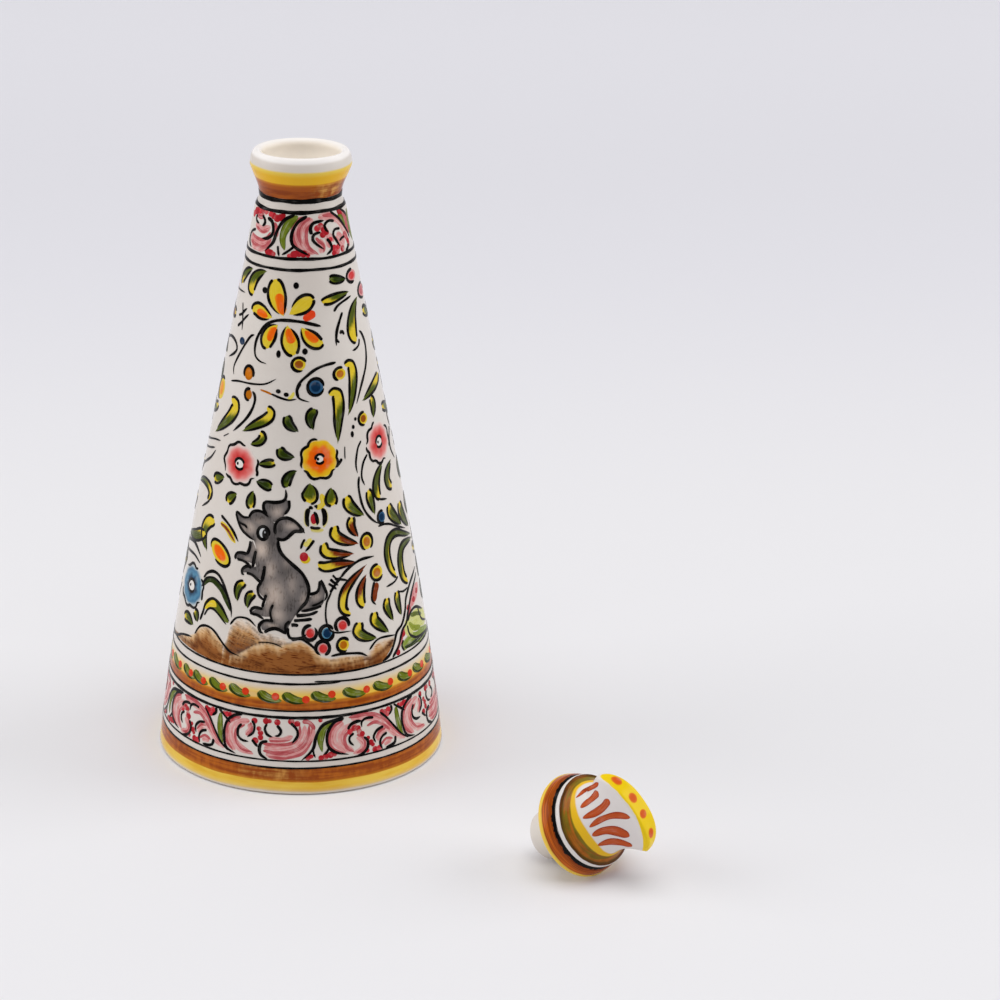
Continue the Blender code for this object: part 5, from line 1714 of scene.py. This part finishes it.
def build_stopper(sides=160):
    """Stacks the rings between two end points, and notes each point's own place and the top's band."""
    turn = np.linspace(0.0, 2.0 * np.pi, sides, endpoint=False)
    foot = np.broadcast_to([0.0, 0.0, -PEG_LENGTH], (1, sides, 3))
    head = np.broadcast_to([KNOB_SHIFT, 0.0, TOP_HEIGHT], (1, sides, 3))
    upright = np.concatenate([foot, lower_rings(turn), knob_rings(turn), head])
    own = drawn_in(upright)
    piece = solid("stopper_skin", lay_down(own), *turned_faces(*upright.shape[:2]))
    note(piece, "own_place", "FLOAT_VECTOR", own)
    overrun = 0.25 + 0.035 * np.maximum(-own[:, 0], 0.0) ** 1.7
    above = own[:, 2] - arch(own[:, 0] - KNOB_SHIFT) + overrun
    note(piece, "top_band", "FLOAT", above)
    return piece


# %% [markdown]
# Bands of the stopper
#
# From the cap's edge up: yellow, brown, a black ring, the white collar, an olive brown, yellow
# again, and the white knob whose arched top is yellow with orange dots. The peg is bare glaze.

# %% Stopper glaze
def stopper_glaze():
    """Bands one over the other, each from a smooth step of the height along the stopper's axis."""
    tree = Tree("banded_glaze_stopper")
    own = tree.attribute("own_place", "Vector")
    across, _, up = tree.parts(own)
    sway = tree.drawn(own, (0.09, 0.09, 0.03))
    ragged = tree.drawn(own, (0.5, 0.5, 0.5), 3.0)
    drag = tree.drawn(own, (0.07, 0.07, 2.2), 3.0)
    height = up + (sway - 0.5) * 0.8
    brown = tree.mix(tree.ramp(drag, 0.38, 0.66), paint(146, 62, 12), paint(206, 104, 24))
    brown = tree.mix(tree.ramp(height, 2.4, 3.9, 0.0, 0.5), brown, paint(120, 48, 10))
    slow = tree.drawn(own, (0.10, 0.10, 0.9))
    olive = tree.mix(tree.ramp(slow, 0.42, 0.56), paint(130, 112, 30), paint(178, 102, 30))
    olive = tree.mix(tree.ramp(drag * 0.7 + ragged * 0.3, 0.40, 0.60, 0.55, 0.0), olive, paint(112, 70, 18))
    olive = tree.mix(tree.ramp(height, 7.0, 7.5, 0.9, 0.0), olive, paint(70, 30, 12))
    bow = across * across * 0.009
    top = tree.attribute("top_band", "Fac")
    colour = CREAM
    for at, low, high, next_colour in (
        (height, -1.15, -0.85, BAND_YELLOW), (height, 0.55, 1.0, brown),
        (height + (ragged - 0.5) * 1.4, 4.0, 4.2, BLACK), (height, 4.95, 5.1, paint(228, 221, 216)),
        (height + (ragged - 0.5) * 0.2, 6.85, 7.0, olive), (height + bow, 9.6, 9.9, paint(236, 188, 40)),
        (height + bow * 2.0, 11.4, 11.8, paint(230, 224, 221)),
        (top + (ragged - 0.5) * 0.3, -0.12, 0.12, paint(242, 206, 18)),
    ):
        colour = tree.mix(tree.ramp(at, low, high), colour, next_colour)
    roughness, normal = gloss(tree)
    return tree.finish(colour, roughness, normal)


stopper = build_stopper()
stopper.data.materials.append(stopper_glaze())
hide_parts("stopper")
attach(stopper, "stopper")
lowest = min(vertex.co.z for vertex in stopper.data.vertices)
print(f"stopper: {len(stopper.data.polygons)} faces, lowest point {lowest:.5f} m")

# %% [markdown]
# Strokes on the knob
#
# Six fat strokes fan out over each face of the knob, and dots sit on its arched top. A place on
# a face is a distance across and a height; the knob's own formulas, solved for the share of
# the way up, give how far out the face lies there.


# %% Knob strokes
def knob_face(way):
    """Returns a function that puts (across, height) on one face of the knob, moved out by lift."""

    def face_depth(across, height):
        """Depth (1 - part^power)^(1/power); twelve steps find the share of the way up first."""
        share = np.full(np.shape(across), 0.5)
        for _ in range(12):
            part = (across - knob_middle(share)) / knob_width(share)
            edge = arch(np.clip(part * TOP_WIDTH, -TOP_WIDTH, TOP_WIDTH)) - ROUNDING
            share = np.clip((height - KNOB_FOOT) / (edge - KNOB_FOOT), 0.0, 1.0)
        part = np.clip(np.abs(across - knob_middle(share)) / knob_width(share), 0.0, 0.999)
        power = 2.0 + 0.5 * share
        return knob_depth(share) * (1.0 - part**power) ** (1.0 / power)

    def place(across, height, lift):
        """Out along the face's normal, which comes from its slope both ways."""
        tiny = 0.05
        deep = face_depth(across, height)
        slope_x = (face_depth(across + tiny, height) - face_depth(across - tiny, height)) / (2 * tiny)
        slope_z = (face_depth(across, height + tiny) - face_depth(across, height - tiny)) / (2 * tiny)
        size = np.sqrt(1.0 + slope_x**2 + slope_z**2)
        out = lift / size
        return lay_down(np.stack([across - slope_x * out, way * (deep + out), height - slope_z * out], -1))

    return place


# half width, then the distance across and the height of each point
KNOB_STROKES = (
    (0.56, 10.1, 9.9, 10.2, 12.8, 10.7, 16.4, 11.4, 19.6), (0.9, 7.7, 11.4, 7.8, 13.8, 8.4, 16.2, 9.2, 18.2),
    (1.15, 5, 11.6, 4.4, 14.9, 4.8, 17.9, 6.1, 20.8),
    (1.1, 1.8, 12.2, 1.9, 15.5, 1.3, 19, 0.1, 21.7, -1.4, 23.9),
    (1.5, -0.7, 11.7, -1.5, 14.7, -3.4, 17.1, -6.9, 19.2),
    (1.3, -4.3, 11.1, -5.5, 13.8, -7.8, 15.6, -10.6, 16.6),
)
for name, way in (("paint_knob_front", 1.0), ("paint_knob_back", -1.0)):
    knob = Pot(name, 0.03, knob_face(way), reach=1.0)
    for half, *points in KNOB_STROKES:
        run = np.reshape(points, (-1, 2)) if way > 0 else np.reshape(points, (-1, 2)) * (-1.0, 1.0) - (1.6, 0.0)
        knob.stroke(run, half, paint(196, 88, 46), watery=0.12, start=0.3, stop=0.16, lanes=7, step=0.5,
                    rim=paint(150, 44, 16), widths=np.linspace(0.75, 1.1, len(run)))
    knob.pour("stopper", "banded_glaze")


def knob_top(across, deep, lift):
    """A place on the arched top: (x, y) lifted to the arch's height at x."""
    return lay_down(np.stack([across, deep, arch(across - KNOB_SHIFT) + lift], -1))


# distance across and back, and the half sizes both ways
TOP_DOTS = ((9.3, -0.5, 1.5, 1.35), (2.8, 0.1, 1.6, 1.5), (-2.9, 0.4, 1.35, 1.5), (-9.4, 0.5, 1.5, 1.3))
dots = Pot("paint_knob_dots", 0.03, knob_top, reach=1.0)


def dot_colour(radius, angle):
    """Orange, yellower only close to the edge: it turns as the sixth power of the radius."""
    return blend(paint(218, 92, 34), paint(238, 150, 40), radius**6)


for across, deep, wide, long in TOP_DOTS:
    dots.disc((across, deep), wide, long, dot_colour, cells=10, watery=0.15)
dots.pour("stopper", "banded_glaze")

# %% [markdown]
# The table, the light and the camera
#
# The pot was photographed on a pale paper sweep under a large soft lamp from above, with soft
# light from both sides. The floor here is one pale sheet with painted shade and light in its colour:
# a little darker some way back, and lighter again far back. The camera
# stands where the photograph was taken from: its place and its turn were worked out from the
# rings of the bottle, whose heights and radii are known.

# %% The floor
# Painted shade some way back and painted light at the very back, carried in the floor's colour.
FLOOR_NEAR = paint(234, 233, 235)
FLOOR_FAR_SHADED = paint(228, 227, 232)
FLOOR_BACK_LIT = paint(237, 236, 241)
BEND_START, BEND = 1.6, 0.8


def floor_material():
    """Matt paper whose colour takes two smooth steps with the distance away: painted shade, then painted light.
    """
    tree = Tree("paper_sweep")
    away = tree.parts(tree.place())[1]
    colour = tree.mix(tree.ramp(away, 0.15, 0.55), FLOOR_NEAR, FLOOR_FAR_SHADED)
    tree.feed(tree.shader.inputs["Base Color"], tree.mix(tree.ramp(away, 0.60, 1.05), colour, FLOOR_BACK_LIT))
    tree.shader.inputs["Roughness"].default_value = 0.9
    tree.shader.inputs["Specular IOR Level"].default_value = 0.1
    return tree.material


def build_floor():
    """A flat sheet that rises behind in a quarter circle: y and z follow one arc."""
    turn = np.radians(np.linspace(0.0, 80.0, 16))
    bend = np.stack([BEND_START + BEND * np.sin(turn), BEND * (1.0 - np.cos(turn))], -1)
    track = np.concatenate([[(-2.0, 0.0)], bend])
    sides = np.array([-4.0, 4.0])
    grid = np.stack([np.tile(sides, (len(track), 1)), np.repeat(track[:, :1], 2, 1),
                     np.repeat(track[:, 1:], 2, 1)], -1)
    quads = np.arange(len(track) - 1)[:, None] * 2 + np.array([0, 1, 3, 2])
    piece = solid("floor_sheet", grid.reshape(-1, 3), quads)
    piece.data.materials.append(floor_material())
    return piece


floor = build_floor()
print("floor:", len(floor.data.polygons), "strips")


# %% The light
def soft_lamp(name, place, target, size, power):
    """A square soft lamp that looks at a point."""
    data = bpy.data.lights.new(name, "AREA")
    data.shape = "SQUARE"
    data.size = size
    data.energy = power
    lamp = placed(name, data)
    lamp.location = place
    lamp.rotation_euler = (Vector(target) - Vector(place)).to_track_quat("-Z", "Y").to_euler()


soft_lamp("lamp_above", (0.0, -0.3, 2.4), (0.0, -0.1, 0.0), 2.0, 30.8)
soft_lamp("lamp_left", (-2.4, 0.0, 1.06), (0.0, 0.0, 0.1), 1.92, 24.3)
soft_lamp("lamp_right", (2.4, 0.16, 1.06), (0.0, 0.0, 0.1), 1.92, 24.3)
print("lamps:", [light.name for light in bpy.data.lights])
world = bpy.data.worlds.new("soft_room")
world.use_nodes = True
sky = world.node_tree.nodes["Background"].inputs
sky["Color"].default_value = (0.97, 0.97, 1.0, 1.0)
sky["Strength"].default_value = 0.36
scene.world = world
scene.view_settings.view_transform = "Standard"

# %% The camera
CAMERA_PLACE = Vector((0.0, -1.0773, 0.4891))
YAW, PITCH, ROLL = 0.0577, 0.3621, 0.0191
LENS = 132.7
forward = Vector((np.sin(YAW) * np.cos(PITCH), np.cos(YAW) * np.cos(PITCH), -np.sin(PITCH)))
level = forward.cross(Vector((0.0, 0.0, 1.0))).normalized()
upright = level.cross(forward)
right = level * np.cos(ROLL) + upright * np.sin(ROLL)
above = upright * np.cos(ROLL) - level * np.sin(ROLL)
camera_data = bpy.data.cameras.new("camera")
camera_data.lens = LENS
camera_data.sensor_width = 36.0
camera_data.sensor_fit = "HORIZONTAL"
camera = placed("camera", camera_data)
camera.matrix_world = Matrix.Translation(CAMERA_PLACE) @ Matrix((right, above, -forward)).transposed().to_4x4()
scene.camera = camera
print("camera: lens", LENS, "mm, place", [round(part, 3) for part in CAMERA_PLACE])
